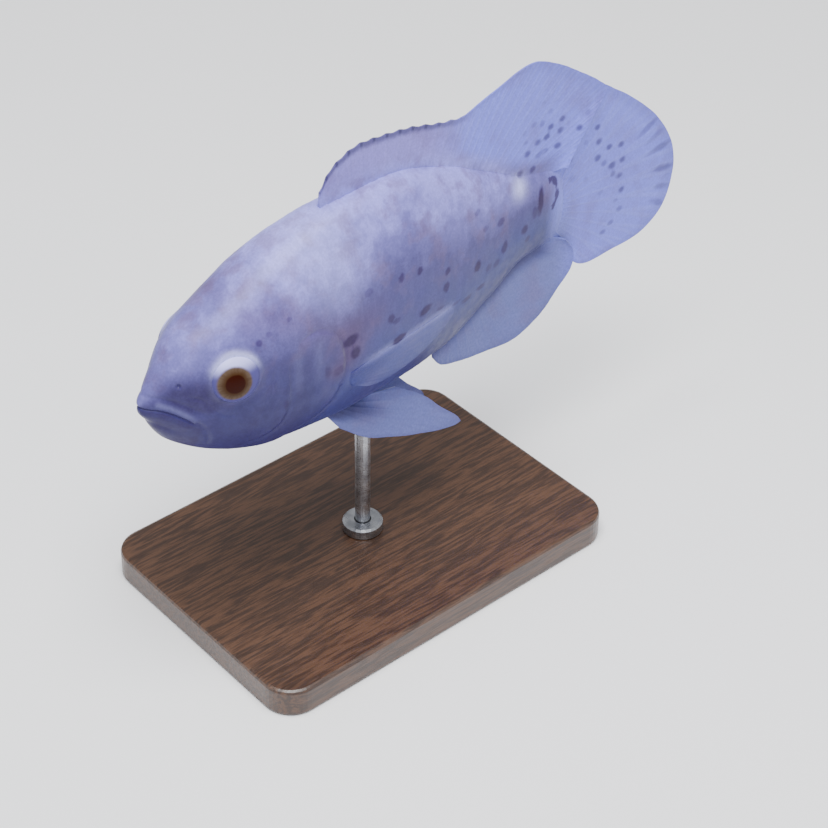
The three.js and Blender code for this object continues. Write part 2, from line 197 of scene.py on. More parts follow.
@dataclass(frozen=True)
class Profile:
    """A value along the fish that passes through its stations and never overshoots between them."""

    stations: Pairs

    def at(self, x: Array) -> Array:
        """The value at each place.

        Args:
            x: Shares of the standard length from the snout.

        Returns:
            The value, in the same shape as x.
        """
        places = np.sqrt([max(station[0], 0) for station in self.stations])
        values = np.array([station[1] for station in self.stations], float)
        gaps = np.diff(places)
        rises = np.diff(values) / gaps
        slopes = np.concatenate([rises[:1], np.zeros(len(rises) - 1), rises[-1:]])
        for i in range(1, len(rises)):
            if rises[i - 1] * rises[i] > 0:
                ahead, behind = 2 * gaps[i] + gaps[i - 1], gaps[i] + 2 * gaps[i - 1]
                slopes[i] = (ahead + behind) / (ahead / rises[i - 1] + behind / rises[i])
        root = np.clip(np.sqrt(np.maximum(x, 0)), places[0], places[-1])
        span = np.clip(np.searchsorted(places, root) - 1, 0, len(gaps) - 1)
        t = (root - places[span]) / gaps[span]
        level = values[span] * (1 + 2 * t) * (1 - t) ** 2 + values[span + 1] * t * t * (3 - 2 * t)
        bend = slopes[span] * (1 - t) - slopes[span + 1] * t
        return level + gaps[span] * t * (1 - t) * bend


@dataclass(frozen=True)
class SideLine:
    """A line drawn on the fish's side, by (x, z) points."""

    points: Pairs
    per_span: int = 6

    def measure(self, x: Array, z: Array) -> tuple[Array, Array]:
        """How far places lie from the line.

        Args:
            x: Places along the fish.
            z: Places up the fish.

        Returns:
            The distance in millimetres, positive on the line's left as it runs, and the share of the
            line that is run at the nearest point.
        """
        line = spline(self.points, self.per_span)
        place = np.stack([x, z], axis=-1)
        best = np.full(np.shape(x), 1e9)
        signed = best.copy()
        share = np.zeros(np.shape(x))
        for i, (start, end) in enumerate(zip(line, line[1:])):
            way = end - start
            off = place - start
            along = np.clip(off @ way / max(float(way @ way), 1e-12), 0, 1)
            away = np.linalg.norm(off - along[..., None] * way, axis=-1)
            nearer = away < best
            turn = way[0] * off[..., 1] - way[1] * off[..., 0]
            best = np.where(nearer, away, best)
            signed = np.where(nearer, np.where(turn >= 0, away, -away), signed)
            share = np.where(nearer, (i + along) / (len(line) - 1), share)
        return signed * LENGTH_MM, share


@dataclass(frozen=True)
class FishForm:
    """The body without its fins: a row of rounded sections from the snout to the tail root."""

    back: Profile = Profile(
        (
            (0, -0.008), (0.015, 0.023), (0.04, 0.054), (0.08, 0.1), (0.13, 0.129), (0.19, 0.16),
            (0.26, 0.197), (0.34, 0.223), (0.42, 0.236), (0.55, 0.243), (0.68, 0.212), (0.8, 0.155),
            (0.9, 0.108), (1, 0.089),
        )
    )
    belly: Profile = Profile(
        (
            (0, -0.008), (0.012, -0.042), (0.04, -0.09), (0.08, -0.123), (0.13, -0.152),
            (0.19, -0.178), (0.26, -0.193), (0.34, -0.202), (0.42, -0.209), (0.55, -0.207),
            (0.66, -0.197), (0.8, -0.137), (0.9, -0.085), (1, -0.078),
        )
    )
    half_width: Profile = Profile(
        (
            (0, 0), (0.015, 0.018), (0.04, 0.036), (0.08, 0.064), (0.13, 0.087), (0.19, 0.1),
            (0.26, 0.108), (0.34, 0.109), (0.42, 0.106), (0.55, 0.094), (0.68, 0.074), (0.8, 0.05),
            (0.9, 0.031), (1, 0.016),
        )
    )
    widest_at: Profile = Profile(
        ((0, -0.008), (0.08, -0.02), (0.2, -0.01), (0.4, 0), (0.7, 0.005), (1, 0.006))
    )
    squareness: Profile = Profile(((0, 2.2), (0.1, 2.35), (0.3, 2.25), (0.6, 2.05), (1, 1.9)))
    orbit_at: tuple[float, float] = (0.142, 0.05)
    orbit_spread: tuple[float, float] = (0.05, 0.045)
    orbit_rise: float = 0.009
    cap_from: float = 0.985
    tail_wedge: float = 0.45
    end: float = 1.015

    def reach(self, x: Array, upper: Array) -> Array:
        """How far the back, or the belly where not upper, lies from the section's widest place."""
        middle = self.widest_at.at(x)
        return np.where(upper, self.back.at(x) - middle, middle - self.belly.at(x))

    def surface(self, x: Array, angle: Array) -> Array:
        """Points on the body.

        Args:
            x: Places along the fish.
            angle: Turns round the section: 0 on the right side, a quarter turn on the back.

        Returns:
            Points in metres.
        """
        side, up = np.cos(angle), np.sin(angle)
        power = 2 / self.squareness.at(x)
        on_cap = np.clip(x - self.cap_from, 0, 1) / (self.end - self.cap_from)
        round_off = np.sqrt(np.clip(1 - on_cap**2, 0, 1))
        rise = self.reach(x, up > 0) * np.sign(up) * np.abs(up) ** power * round_off
        wedge = 1 - self.tail_wedge * eased(0.9, self.end, x)
        out = self.half_width.at(x) * np.abs(side) ** power * round_off * wedge
        z = self.widest_at.at(x) + rise
        out = out + self.orbit(x, z) * np.abs(side)
        return to_world(x, np.sign(side) * out, z)

    def orbit(self, x: Array, z: Array) -> Array:
        """How far the flesh round the eye swells out.

        Args:
            x: Places along the fish.
            z: Places up the fish.

        Returns:
            The swell, as a share of the standard length.
        """
        along = (x - self.orbit_at[0]) / self.orbit_spread[0]
        above = (z - self.orbit_at[1]) / self.orbit_spread[1]
        return self.orbit_rise * np.exp(-along * along - above * above)

    def flank(self, x: Array, z: Array) -> Array:
        """How far out the side lies at places seen from the side, as shares of the standard length.

        Args:
            x: Places along the fish.
            z: Places up the fish.

        Returns:
            The distances from the middle plane.
        """
        middle = self.widest_at.at(x)
        squareness = self.squareness.at(x)
        up = np.clip(np.abs(z - middle) / self.reach(x, z > middle), 0, 1)
        return self.half_width.at(x) * (1 - up**squareness) ** (1 / squareness) + self.orbit(x, z)

    def normal(self, x: Array, angle: Array) -> Array:
        """The way out of the body at each place.

        Args:
            x: Places along the fish.
            angle: Turns round the section.

        Returns:
            Unit vectors.
        """
        small = 0.002
        ahead = self.surface(x + small, angle) - self.surface(np.maximum(x - small, 0), angle)
        round_it = self.surface(x, angle + small) - self.surface(x, angle - small)
        out = np.cross(ahead, round_it)
        return -out / np.maximum(np.linalg.norm(out, axis=-1, keepdims=True), 1e-12)


FORM = FishForm()


def fin_share(x: Array, z: Array) -> Array:
    """How far places seen from the side belong to the fins of the midline, in colour.

    Args:
        x: Places along the fish.
        z: Places up the fish.

    Returns:
        0 on the body to 1 on the fins, with a soft change at their roots.
    """
    beyond = np.maximum(z - FORM.back.at(x), FORM.belly.at(x) - z) * LENGTH_MM
    return np.maximum(eased(0.0, 6.5, beyond), eased(0.935, 1.0, x))


@dataclass(frozen=True)
class EyePlace:
    """Where an eye sits, how large it is and where it looks."""

    x: float = 0.147
    z: float = 0.033
    radius: float = 6.9
    depth: float = 4.6
    proud: float = 1.9
    forward: float = math.radians(14)
    upward: float = math.radians(12)

    def turn(self, side: Side) -> Matrix:
        """The turn that takes an eye which looks along +Z into its place.

        Args:
            side: The side that the eye is on.

        Returns:
            A turn matrix of 3 by 3.
        """
        out = Vector(
            (
                -math.cos(self.upward) * math.sin(self.forward),
                side.value * math.cos(self.upward) * math.cos(self.forward),
                math.sin(self.upward),
            )
        )
        up = Vector((0, 0, 1))
        up = (up - out * up.dot(out)).normalized()
        across = up.cross(out)
        return Matrix((across, up, out)).transposed()

    def centre(self, side: Side) -> Vector:
        """The middle of the eyeball, in metres."""
        out = FORM.flank(self.x, self.z) + (self.proud - self.depth) / LENGTH_MM
        return Vector(to_world(self.x, side.value * out, self.z))

    def off_axis(self, points: Array) -> tuple[Array, Array]:
        """How far points lie from the nearer eye's line of sight.

        Args:
            points: Points in metres.

        Returns:
            The distance in millimetres, large for what lies behind the eye, and how far up from the
            line of sight the point is, in millimetres.
        """
        nearest = np.full(points.shape[:-1], 99.0)
        above = np.zeros(points.shape[:-1])
        for side in Side:
            turn = np.array(self.turn(side))
            local = (points - np.array(self.centre(side))) @ turn / MM
            away = np.hypot(local[..., 0], local[..., 1])
            away = np.where(local[..., 2] > 0, away, 99.0)
            above = np.where(away < nearest, local[..., 1], above)
            nearest = np.minimum(nearest, away)
        return nearest, above


EYE = EyePlace()


@dataclass(frozen=True)
class Stroke:
    """Ridges, furrows or tints that run along a line on the fish's side.

    Each band is how far beside the line it runs, its height or strength, and its width, with the
    distances in millimetres. The bands fade in between two shares of the line, and out from a third.
    """

    line: SideLine
    bands: Pairs
    fade_in: tuple[float, float] = (-1.0, 0.0)
    fade_out: float = 0.8

    def at(self, x: Array, z: Array) -> Array:
        """The sum of the bands at each place.

        Args:
            x: Places along the fish.
            z: Places up the fish.

        Returns:
            Heights in millimetres, or strengths.
        """
        away, run = self.line.measure(x, z)
        bands = sum(strength * hump(away - beside, width) for beside, strength, width in self.bands)
        return bands * eased(*self.fade_in, run) * eased(1.0, self.fade_out, run)


MOUTH = SideLine(((-0.03, 0.004), (0.004, -0.01), (0.03, -0.017), (0.058, -0.034), (0.08, -0.054)))
MOUTH_CORNER = SideLine(((0.079, -0.046), (0.09, -0.062), (0.098, -0.086), (0.1, -0.112)))
BROW = SideLine(((0.062, 0.012), (0.085, 0.004), (0.1, -0.016), (0.118, -0.035), (0.15, -0.045)))
CHEEK_EDGE = SideLine(
    ((0.248, 0.03), (0.252, -0.02), (0.249, -0.07), (0.235, -0.108), (0.2, -0.131), (0.16, -0.134))
)
GILL_EDGE = SideLine(
    (
        (0.262, 0.052), (0.318, 0.06), (0.356, 0.03), (0.372, -0.03), (0.36, -0.09),
        (0.322, -0.137), (0.272, -0.158), (0.225, -0.17), (0.17, -0.163),
    )
)
HEAD_FOLDS = (
    Stroke(MOUTH, ((0.0, -0.42, 0.32), (1.4, 0.24, 1.3), (-1.7, 0.3, 1.3)), fade_out=0.86),
    Stroke(MOUTH, ((3.7, -0.22, 0.6), (-4.5, -0.16, 0.8)), fade_in=(0.1, 0.3)),
    Stroke(MOUTH_CORNER, ((0.0, -0.22, 0.5), (1.2, 0.12, 0.8)), fade_out=0.7),
    Stroke(BROW, ((0.0, -0.22, 0.5),), fade_in=(0.0, 0.15)),
    Stroke(CHEEK_EDGE, ((0.0, -0.28, 0.55), (-1.4, 0.15, 1.0)), fade_in=(0.0, 0.08), fade_out=0.88),
)


def gill_gap(x: Array, z: Array) -> Array:
    """Distance from the gill cover's free edge in millimetres, positive on the cover itself."""
    return -GILL_EDGE.measure(x, z)[0]


@dataclass(frozen=True)
class Relief:
    """How far the skin stands out from the plain body. Heights and reaches are in millimetres."""

    nostril: tuple[float, float, float] = (0.056, 0.043, 0.033)
    nostril_depth: float = 0.6
    nostril_rim: float = 0.06
    coat_depth: float = 0.22
    bare_depth: float = 0.05
    cover_step: float = 0.26
    cover_furrow: float = 0.3
    socket_depth: float = 1.7
    lid: float = 0.42
    lid_furrow: float = 0.14
    furrow_at: float = 8.7
    ring_height: float = 0.09
    ring_gap: float = 1.9
    waves: float = 0.045

    def scaled(self, points: Array) -> Array:
        """Where scales grow, from 0 on the bare face to 1.

        Args:
            points: Points in metres.

        Returns:
            The share of cover.
        """
        x, _, z = to_fish(points)
        eye, _ = EYE.off_axis(points)
        start = 0.185 - 0.03 * eased(-0.02, -0.12, z) + 0.05 * eased(0.06, 0.16, z)
        cover = eased(start, start + 0.02, x) * eased(8.4, 9.6, eye)
        throat = eased(-0.15, -0.165, z) * eased(0.27, 0.24, x)
        return cover * (1 - throat)

    def gill_cover(self, x: Array, z: Array) -> Array:
        """The gill cover's raised edge and the furrow behind it.

        Args:
            x: Places along the fish.
            z: Places up the fish.

        Returns:
            Heights.
        """
        away, run = GILL_EDGE.measure(x, z)
        inside = -away
        ends = eased(0, 0.1, run) * eased(1, 0.9, run) * (x > 0.15)
        step = self.cover_step * eased(-0.3, 1.1, inside) * hump(np.maximum(inside - 2, 0), 5.0)
        return ends * (step - self.cover_furrow * hump(inside + 0.6, 0.6))

    def nostril_pit(self, points: Array) -> Array:
        """The nostril's pit and its low rim.

        Args:
            points: Points in metres.

        Returns:
            Heights.
        """
        folded = np.stack([points[..., 0], np.abs(points[..., 1]), points[..., 2]], axis=-1)
        reach = np.linalg.norm(folded - to_world(*self.nostril), axis=-1) / MM
        return self.nostril_rim * hump(reach - 1.15, 0.5) - self.nostril_depth * hump(reach, 0.6)

    def eye_socket(self, points: Array) -> Array:
        """The hollow that holds the eyeball, its lid, and the faint rings below it.

        Args:
            points: Points in metres.

        Returns:
            Heights.
        """
        eye, above = EYE.off_axis(points)
        beyond = eye - self.furrow_at
        lid = self.lid * hump(eye - EYE.radius, 0.65) - self.lid_furrow * hump(beyond, 0.6)
        rings = np.cos(beyond * math.tau / self.ring_gap) * eased(0, 0.7, beyond)
        rings = rings * eased(14, 12, eye) * eased(1, -3, above)
        return lid + self.ring_height * rings - self.socket_depth * eased(6.1, 4.6, eye)

    def lift(self, points: Array) -> Array:
        """How far the skin stands out from the plain body.

        Args:
            points: Points on the plain body, in metres.

        Returns:
            The height along the way out, in metres.
        """
        x, y, z = to_fish(points)
        height = -(self.bare_depth + (self.coat_depth - self.bare_depth) * self.scaled(points))
        height = height + sum(fold.at(x, z) for fold in HEAD_FOLDS) + self.gill_cover(x, z)
        height = height + self.nostril_pit(points) + self.eye_socket(points)
        wave = np.sin(x * 41 + z * 17) * np.sin(z * 53 - x * 11 + np.sign(y)) + 0.5 * np.sin(x * 97 + y * 40)
        return (height + self.waves * wave) * MM


RELIEF = Relief()


def use(piece: bpy.types.Object) -> None:
    """Makes a piece the only one that operators act on.

    Args:
        piece: The piece.
    """
    bpy.ops.object.select_all(action="DESELECT")
    piece.select_set(True)
    bpy.context.view_layer.objects.active = piece


def newest(name: str) -> bpy.types.Object:
    """Names the primitive that was just added.

    Args:
        name: The name for it and its mesh.

    Returns:
        The primitive.
    """
    piece = bpy.context.active_object
    piece.name = name
    piece.data.name = name
    return piece


def rows_of(items: bpy.types.bpy_prop_collection, name: str) -> Array:
    """Reads a vector of each vertex or face of a mesh.

    Args:
        items: The vertices or faces.
        name: The vector's name, such as co.

    Returns:
        The vectors, one row each.
    """
    flat = np.zeros(len(items) * 3, np.float32)
    items.foreach_get(name, flat)
    return flat.reshape(-1, 3).astype(float)


def corners(mesh: bpy.types.Mesh) -> Array:
    """The places of a mesh's vertices, one row each."""
    return rows_of(mesh.vertices, "co")


def place(mesh: bpy.types.Mesh, points: Array) -> None:
    """Moves a mesh's vertices to the points given, one row each."""
    mesh.vertices.foreach_set("co", points.astype(np.float32).ravel())
    mesh.update()


def record_field(mesh: bpy.types.Mesh, name: str, values: Array) -> None:
    """Stores one number for each vertex, under a name that materials read."""
    attribute = mesh.attributes.get(name) or mesh.attributes.new(name, "FLOAT", "POINT")
    attribute.data.foreach_set("value", np.broadcast_to(values, len(mesh.vertices)).astype(np.float32))


def apply_modifier(piece: bpy.types.Object, modifier: bpy.types.Modifier) -> None:
    """Makes a modifier's result the piece's own mesh."""
    use(piece)
    bpy.ops.object.modifier_apply(modifier=modifier.name)


def turn_faces_out(piece: bpy.types.Object) -> None:
    """Makes every face of a closed piece look outwards.

    Args:
        piece: The piece.
    """
    use(piece)
    bpy.ops.object.mode_set(mode="EDIT")
    bpy.ops.mesh.select_all(action="SELECT")
    bpy.ops.mesh.normals_make_consistent(inside=False)
    bpy.ops.object.mode_set(mode="OBJECT")


def dress(piece: bpy.types.Object, material: bpy.types.Material) -> None:
    """Gives a piece one material in place of any others."""
    piece.data.materials.clear()
    piece.data.materials.append(material)


def soften(piece: bpy.types.Object, degrees: float) -> None:
    """Shades a piece smoothly, apart from edges sharper than an angle."""
    use(piece)
    bpy.ops.object.shade_smooth_by_angle(angle=math.radians(degrees))


@dataclass(frozen=True)
class Fan:
    """Fin rays that spread from a root line to a margin."""

    roots: Pairs
    margin: Pairs
    rays: int
    per_ray: int = 6
    notch: float = 0.05
    swing: float = 0.0
    spiny: bool = False

    def columns(self) -> tuple[Array, Array, Array]:
        """Where the columns of the fin's sheet start and end.

        Returns:
            Root places and tip places, each (x, y, z) in shares, and the ray number of each column.
        """
        count = (self.rays - 1) * self.per_ray + 1
        number = np.linspace(0, self.rays - 1, count)
        starts = evenly(spline(self.roots, 10), count)
        tips = evenly(spline(self.margin, 12), count)
        if starts.shape[1] == 2:
            flat = np.zeros((count, 1))
            starts = np.hstack([starts[:, :1], flat, starts[:, 1:]])
            swung = -self.swing * np.linspace(0, 1, count)[:, None]
            tips = np.hstack([tips[:, :1], swung, tips[:, 1:]])
        else:
            starts, tips = starts[:, [0, 2, 1]], tips[:, [0, 2, 1]]
        length = np.linalg.norm(tips - starts, axis=1) * LENGTH_MM
        pull = self.notch * np.sin(math.pi * number) ** 2 / length
        tips = tips + (starts - tips) * pull[:, None]
        return starts, tips, number


@dataclass(frozen=True)
class Fin:
    """One fin of the fish: a sheet with a rounded ridge along each ray, thicker at its root."""

    name: str
    fans: tuple[Fan, ...]
    rows: int
    root_half: float = 2.2
    thinning: float = 0.0
    edge_half: float = 0.35
    ripple: float = 0.4
    long_wave: float = 8.3
    short_wave: float = 3.7
    web: float = 0.62
    ray_width: float = 0.15
    ray_split: float = 0.25
    buried: float = 2.5
    side: Side | None = None
    turn: float = 0.0
    hug: float | None = None
    dip: float = 20.0
    sunk: float = 0.3
    cover: float = 1.0

    def sheet_points(self, column: Array, share: Array) -> tuple[Array, Array, Array]:
        """Points of the fin's middle sheet.

        Args:
            column: Column numbers, fractions allowed.
            share: Shares of the ray run, below 0 inside the body.

        Returns:
            Points in metres, the ray numbers and 1 where rays are spines.
        """
        starts, tips, numbers, spines = self.layout()
        at = np.arange(len(numbers))
        start = np.stack([np.interp(column, at, starts[:, i]) for i in range(3)], axis=-1)
        tip = np.stack([np.interp(column, at, tips[:, i]) for i in range(3)], axis=-1)
        ray = np.interp(column, at, numbers)
        out = np.clip(share, 0, 1)
        along = start + (tip - start) * share[..., None]
        if self.side is None:
            along[..., 1] = tip[..., 1] * out**2
        else:
            if self.hug is not None:
                free = eased(0.4, 0.85, ray / ray.max())
                lie = self.hug * free * out**0.6 - self.sunk * (1 - free)
                off = np.where(share > 0, lie, self.dip * share - self.sunk * (1 - free))
                along[..., 1] = FORM.flank(along[..., 0], along[..., 2]) + off / LENGTH_MM
            along[..., 1] *= self.side.value
        wave = np.sin(math.tau * (ray / self.long_wave + 0.5 * share) + self.turn)
        wave = wave + 0.3 * np.sin(math.tau * ray / self.short_wave - self.turn)
        along[..., 1] += self.ripple / LENGTH_MM * wave * out**1.5
        return to_world(along[..., 0], along[..., 1], along[..., 2]), ray, np.interp(column, at, spines)

    def layout(self) -> tuple[Array, Array, Array, Array]:
        """The columns of all the fans, one after the other.

        Returns:
            Roots, tips, ray numbers, and 1 where the rays are spines.
        """
        parts, first = [], 0.0
        for fan in self.fans:
            starts, tips, number = fan.columns()
            parts.append((starts, tips, number + first, np.full(len(number), float(fan.spiny))))
            first += fan.rays
        return tuple(np.concatenate([part[i] for part in parts]) for i in range(4))

    def half_thickness(self, ray: Array, share: Array, spine: Array) -> Array:
        """Half of the fin's thickness in millimetres.

        Args:
            ray: Ray numbers.
            share: Shares of the ray run.
            spine: 1 where the rays are spines.

        Returns:
            The half thickness.
        """
        run = np.clip(share, 0, 1)
        root = self.root_half * (1 - self.thinning * (ray / ray.max()) ** 2)
        envelope = self.edge_half + (root - self.edge_half) * (1 - run) ** 3.0
        off = np.abs(ray - np.round(ray))
        split = self.ray_split * eased(0.4, 1.0, run) * (1 - spine)
        ridge = np.maximum(hump(off - split, self.ray_width), hump(off + split, self.ray_width))
        return envelope * (self.web + (0.08 + 0.2 * spine * run) * ridge)

    def build(self) -> tuple[bpy.types.Object, dict[str, Array]]:
        """Models the fin as a closed piece.

        Returns:
            The piece, and for each of its vertices the ray number, the share of the ray run and how far
            it takes the colours of a paired fin.
        """
        starts, tips, numbers, _ = self.layout()
        columns = len(numbers) - 1
        bpy.ops.mesh.primitive_grid_add(x_subdivisions=columns, y_subdivisions=self.rows, size=2)
        piece = newest(self.name)
        grid = corners(piece.data)
        column = (grid[:, 0] + 1) / 2 * columns
        length = np.median(np.linalg.norm(tips - starts, axis=1)) * LENGTH_MM
        run = (grid[:, 1] + 1) / 2
        share = -self.buried / length + (1 + self.buried / length) * run**0.92
        points, ray, spine = self.sheet_points(column, share)
        place(piece.data, points)
        half = self.half_thickness(ray, share, spine)
        group = piece.vertex_groups.new(name="thickness")
        for index, weight in enumerate(half / self.root_half):
            group.add([index], float(weight), "REPLACE")
        shell = piece.modifiers.new("thickness", "SOLIDIFY")
        shell.thickness = 2 * self.root_half * MM
        shell.offset = 0
        shell.vertex_group = "thickness"
        apply_modifier(piece, shell)
        turn_faces_out(piece)
        piece.vertex_groups.clear()
        times = len(piece.data.vertices) // len(ray)
        paired = np.full(len(ray) * times, 0.0 if self.side is None else self.cover)
        return piece, {"ray": np.tile(ray, times), "along": np.tile(share, times), "paired": paired}


DORSAL_SPINES = Fan(
    roots=((0.4, 0.215), (0.545, 0.2025), (0.69, 0.19)),
    margin=(
        (0.402, 0.262), (0.428, 0.302), (0.476, 0.326), (0.54, 0.324), (0.61, 0.316),
        (0.68, 0.301), (0.736, 0.291),
    ),
    rays=13,
    notch=0.4,
    spiny=True,
)
DORSAL_RAYS = Fan(
    roots=((0.696, 0.187), (0.82, 0.132), (0.955, 0.08)),
    margin=(
        (0.744, 0.2915), (0.775, 0.304), (0.822, 0.321), (0.869, 0.343), (0.907, 0.347), (0.968, 0.322),
        (1.02, 0.289), (1.07, 0.254), (1.091, 0.231), (1.058, 0.184), (1.024, 0.133), (0.996, 0.092),
    ),
    rays=20,
    swing=0.022,
)
ANAL_RAYS = Fan(
    roots=((0.672, -0.175), (0.82, -0.114), (0.965, -0.062)),
    margin=(
        (0.672, -0.218), (0.693, -0.244), (0.745, -0.259), (0.815, -0.268), (0.883, -0.265),
        (0.941, -0.241), (0.989, -0.203), (1.027, -0.162), (1.03, -0.117), (1.005, -0.078),
    ),
    rays=18,
    swing=0.016,
)
TAIL_RAYS = Fan(
    roots=((0.97, 0.078), (1.003, 0.037), (1.008, 0.005), (1.003, -0.027), (0.97, -0.068)),
    margin=(
        (1.025, 0.124), (1.05, 0.19), (1.088, 0.23), (1.14, 0.202), (1.2, 0.157), (1.262, 0.097),
        (1.308, 0.02), (1.321, -0.05), (1.3, -0.125), (1.24, -0.167), (1.15, -0.174), (1.06, -0.166),
        (1.0, -0.1),
    ),
    rays=18,
)
PELVIC_RAYS = Fan(
    roots=((0.378, -0.19, 0.036), (0.405, -0.192, 0.03), (0.432, -0.193, 0.022)),
    margin=(
        (0.413, -0.239, 0.038), (0.468, -0.284, 0.044), (0.552, -0.32, 0.049), (0.651, -0.351, 0.053),
        (0.704, -0.357, 0.055), (0.655, -0.3, 0.047), (0.608, -0.252, 0.038), (0.557, -0.218, 0.028),
    ),
    rays=7,
    notch=0.5,
)
PECTORAL_RAYS = Fan(
    roots=((0.389, -0.061, 0.097), (0.39, -0.075, 0.096), (0.394, -0.092, 0.094)),
    margin=(
        (0.45, -0.052, 0.115), (0.53, -0.05, 0.1065), (0.6, -0.049, 0.0975), (0.65, -0.051, 0.0905),
        (0.662, -0.066, 0.087), (0.64, -0.09, 0.0855), (0.59, -0.111, 0.088), (0.53, -0.124, 0.0915),
        (0.47, -0.126, 0.098), (0.43, -0.115, 0.1045),
    ),
    rays=14,
    per_ray=5,
)
MEDIAN_FINS = (
    Fin("dorsal_sheet", (DORSAL_SPINES, DORSAL_RAYS), rows=38, ripple=0.3, thinning=0.5),
    Fin("anal_sheet", (ANAL_RAYS,), rows=32, turn=1.3, thinning=0.5),
    Fin("tail_sheet", (TAIL_RAYS,), rows=44, turn=2.1, root_half=1.45),
)


def paired_fins(side: Side) -> tuple[Fin, Fin]:
    """The paired fins of one side.

    Args:
        side: The side.

    Returns:
        The pelvic and the pectoral fin.
    """
    label = side.name.lower()
    pelvic = Fin(f"pelvic_sheet_{label}", (PELVIC_RAYS,), 36, root_half=1.3, ripple=0.2, side=side)
    close = {"root_half": 0.75, "ripple": 0.05, "buried": 1.5, "hug": 0.8, "cover": 0.3}
    return pelvic, Fin(f"pectoral_sheet_{label}", (PECTORAL_RAYS,), 28, side=side, **close)


FINS = MEDIAN_FINS + paired_fins(Side.LEFT) + paired_fins(Side.RIGHT)


@dataclass(frozen=True)
class Spot:
    """A dark mark: its place seen from the side, half sizes in millimetres, lean and strength."""

    x: float
    z: float
    long: float
    high: float
    lean: float = 0.0
    ink: float = 1.0
    spread: float = 1.2

    def field(self, x: Array, z: Array) -> Array:
        """How near places lie to the mark's middle.

        Args:
            x: Places along the fish.
            z: Places up the fish.

        Returns:
            1 at the middle, 0 at the edge and below 0 outside.
        """
        along, above = (x - self.x) * LENGTH_MM, (z - self.z) * LENGTH_MM
        turn = math.radians(self.lean)
        far = np.hypot(
            (along * math.cos(turn) + above * math.sin(turn)) / (self.spread * self.long),
            (above * math.cos(turn) - along * math.sin(turn)) / (self.spread * self.high),
        )
        return 1 - far


BODY_SPOTS = tuple(
    Spot(*numbers)
    for numbers in (
        (0.384, 0.013, 2.3, 1.5, 15), (0.397, -0.018, 1.5, 1.7, 10), (0.358, -0.039, 2.0, 1.2, 0, 0.45),
        (0.433, 0.09, 1.4, 1.1, 0, 0.4), (0.484, 0.012, 1.1, 1.4, 20, 0.8),
        (0.497, 0.0, 1.3, 0.8, 0, 0.6), (0.513, 0.084, 1.0, 1.2, 0, 0.75),
        (0.561, 0.076, 1.1, 1.2, 0, 0.85), (0.636, 0.038, 1.1, 1.1, 0, 0.8),
        (0.633, 0.005, 1.2, 1.5, 0, 0.8), (0.725, 0.002, 1.3, 1.6, 0, 0.95),
        (0.506, -0.045, 2.5, 1.1, 8, 0.95), (0.575, -0.015, 2.3, 1.2, 8, 0.9),
        (0.618, -0.034, 1.6, 0.7, 0, 0.5), (0.7, -0.058, 2.2, 0.8, 4, 0.65),
        (0.742, -0.055, 1.9, 0.8, 0, 0.7), (0.665, -0.048, 1.6, 0.6, 4, 0.45),
        (0.762, -0.02, 1.1, 1.2, 0, 0.5), (0.787, -0.024, 1.1, 1.3, 10, 0.5),
        (0.809, 0.002, 1.2, 1.7, 0, 0.75), (0.873, 0.008, 1.4, 1.2, 0, 0.8),
        (0.885, -0.02, 1.2, 1.0, 0, 0.6), (0.8, 0.061, 1.5, 1.0, 0, 0.6),
        (0.752, 0.07, 1.2, 0.9, 0, 0.4), (0.733, 0.112, 1.3, 0.8, 0, 0.4),
        (0.926, 0.045, 1.15, 3.7, -10, 1.0), (0.905, 0.03, 1.2, 1.6, 0, 0.6),
        (0.195, 0.085, 0.85, 0.85, 0, 0.6), (0.217, 0.094, 0.8, 0.7, 0, 0.35),
        (0.259, 0.108, 0.8, 0.7, 0, 0.4), (0.331, -0.03, 0.9, 2.0, 5, 0.5),
        (0.415, 0.135, 1.4, 1.0, 0, 0.18), (0.6, 0.12, 1.5, 1.0, 0, 0.18),
        (0.24, -0.06, 0.7, 1.6, 0, 0.35),
    )
)
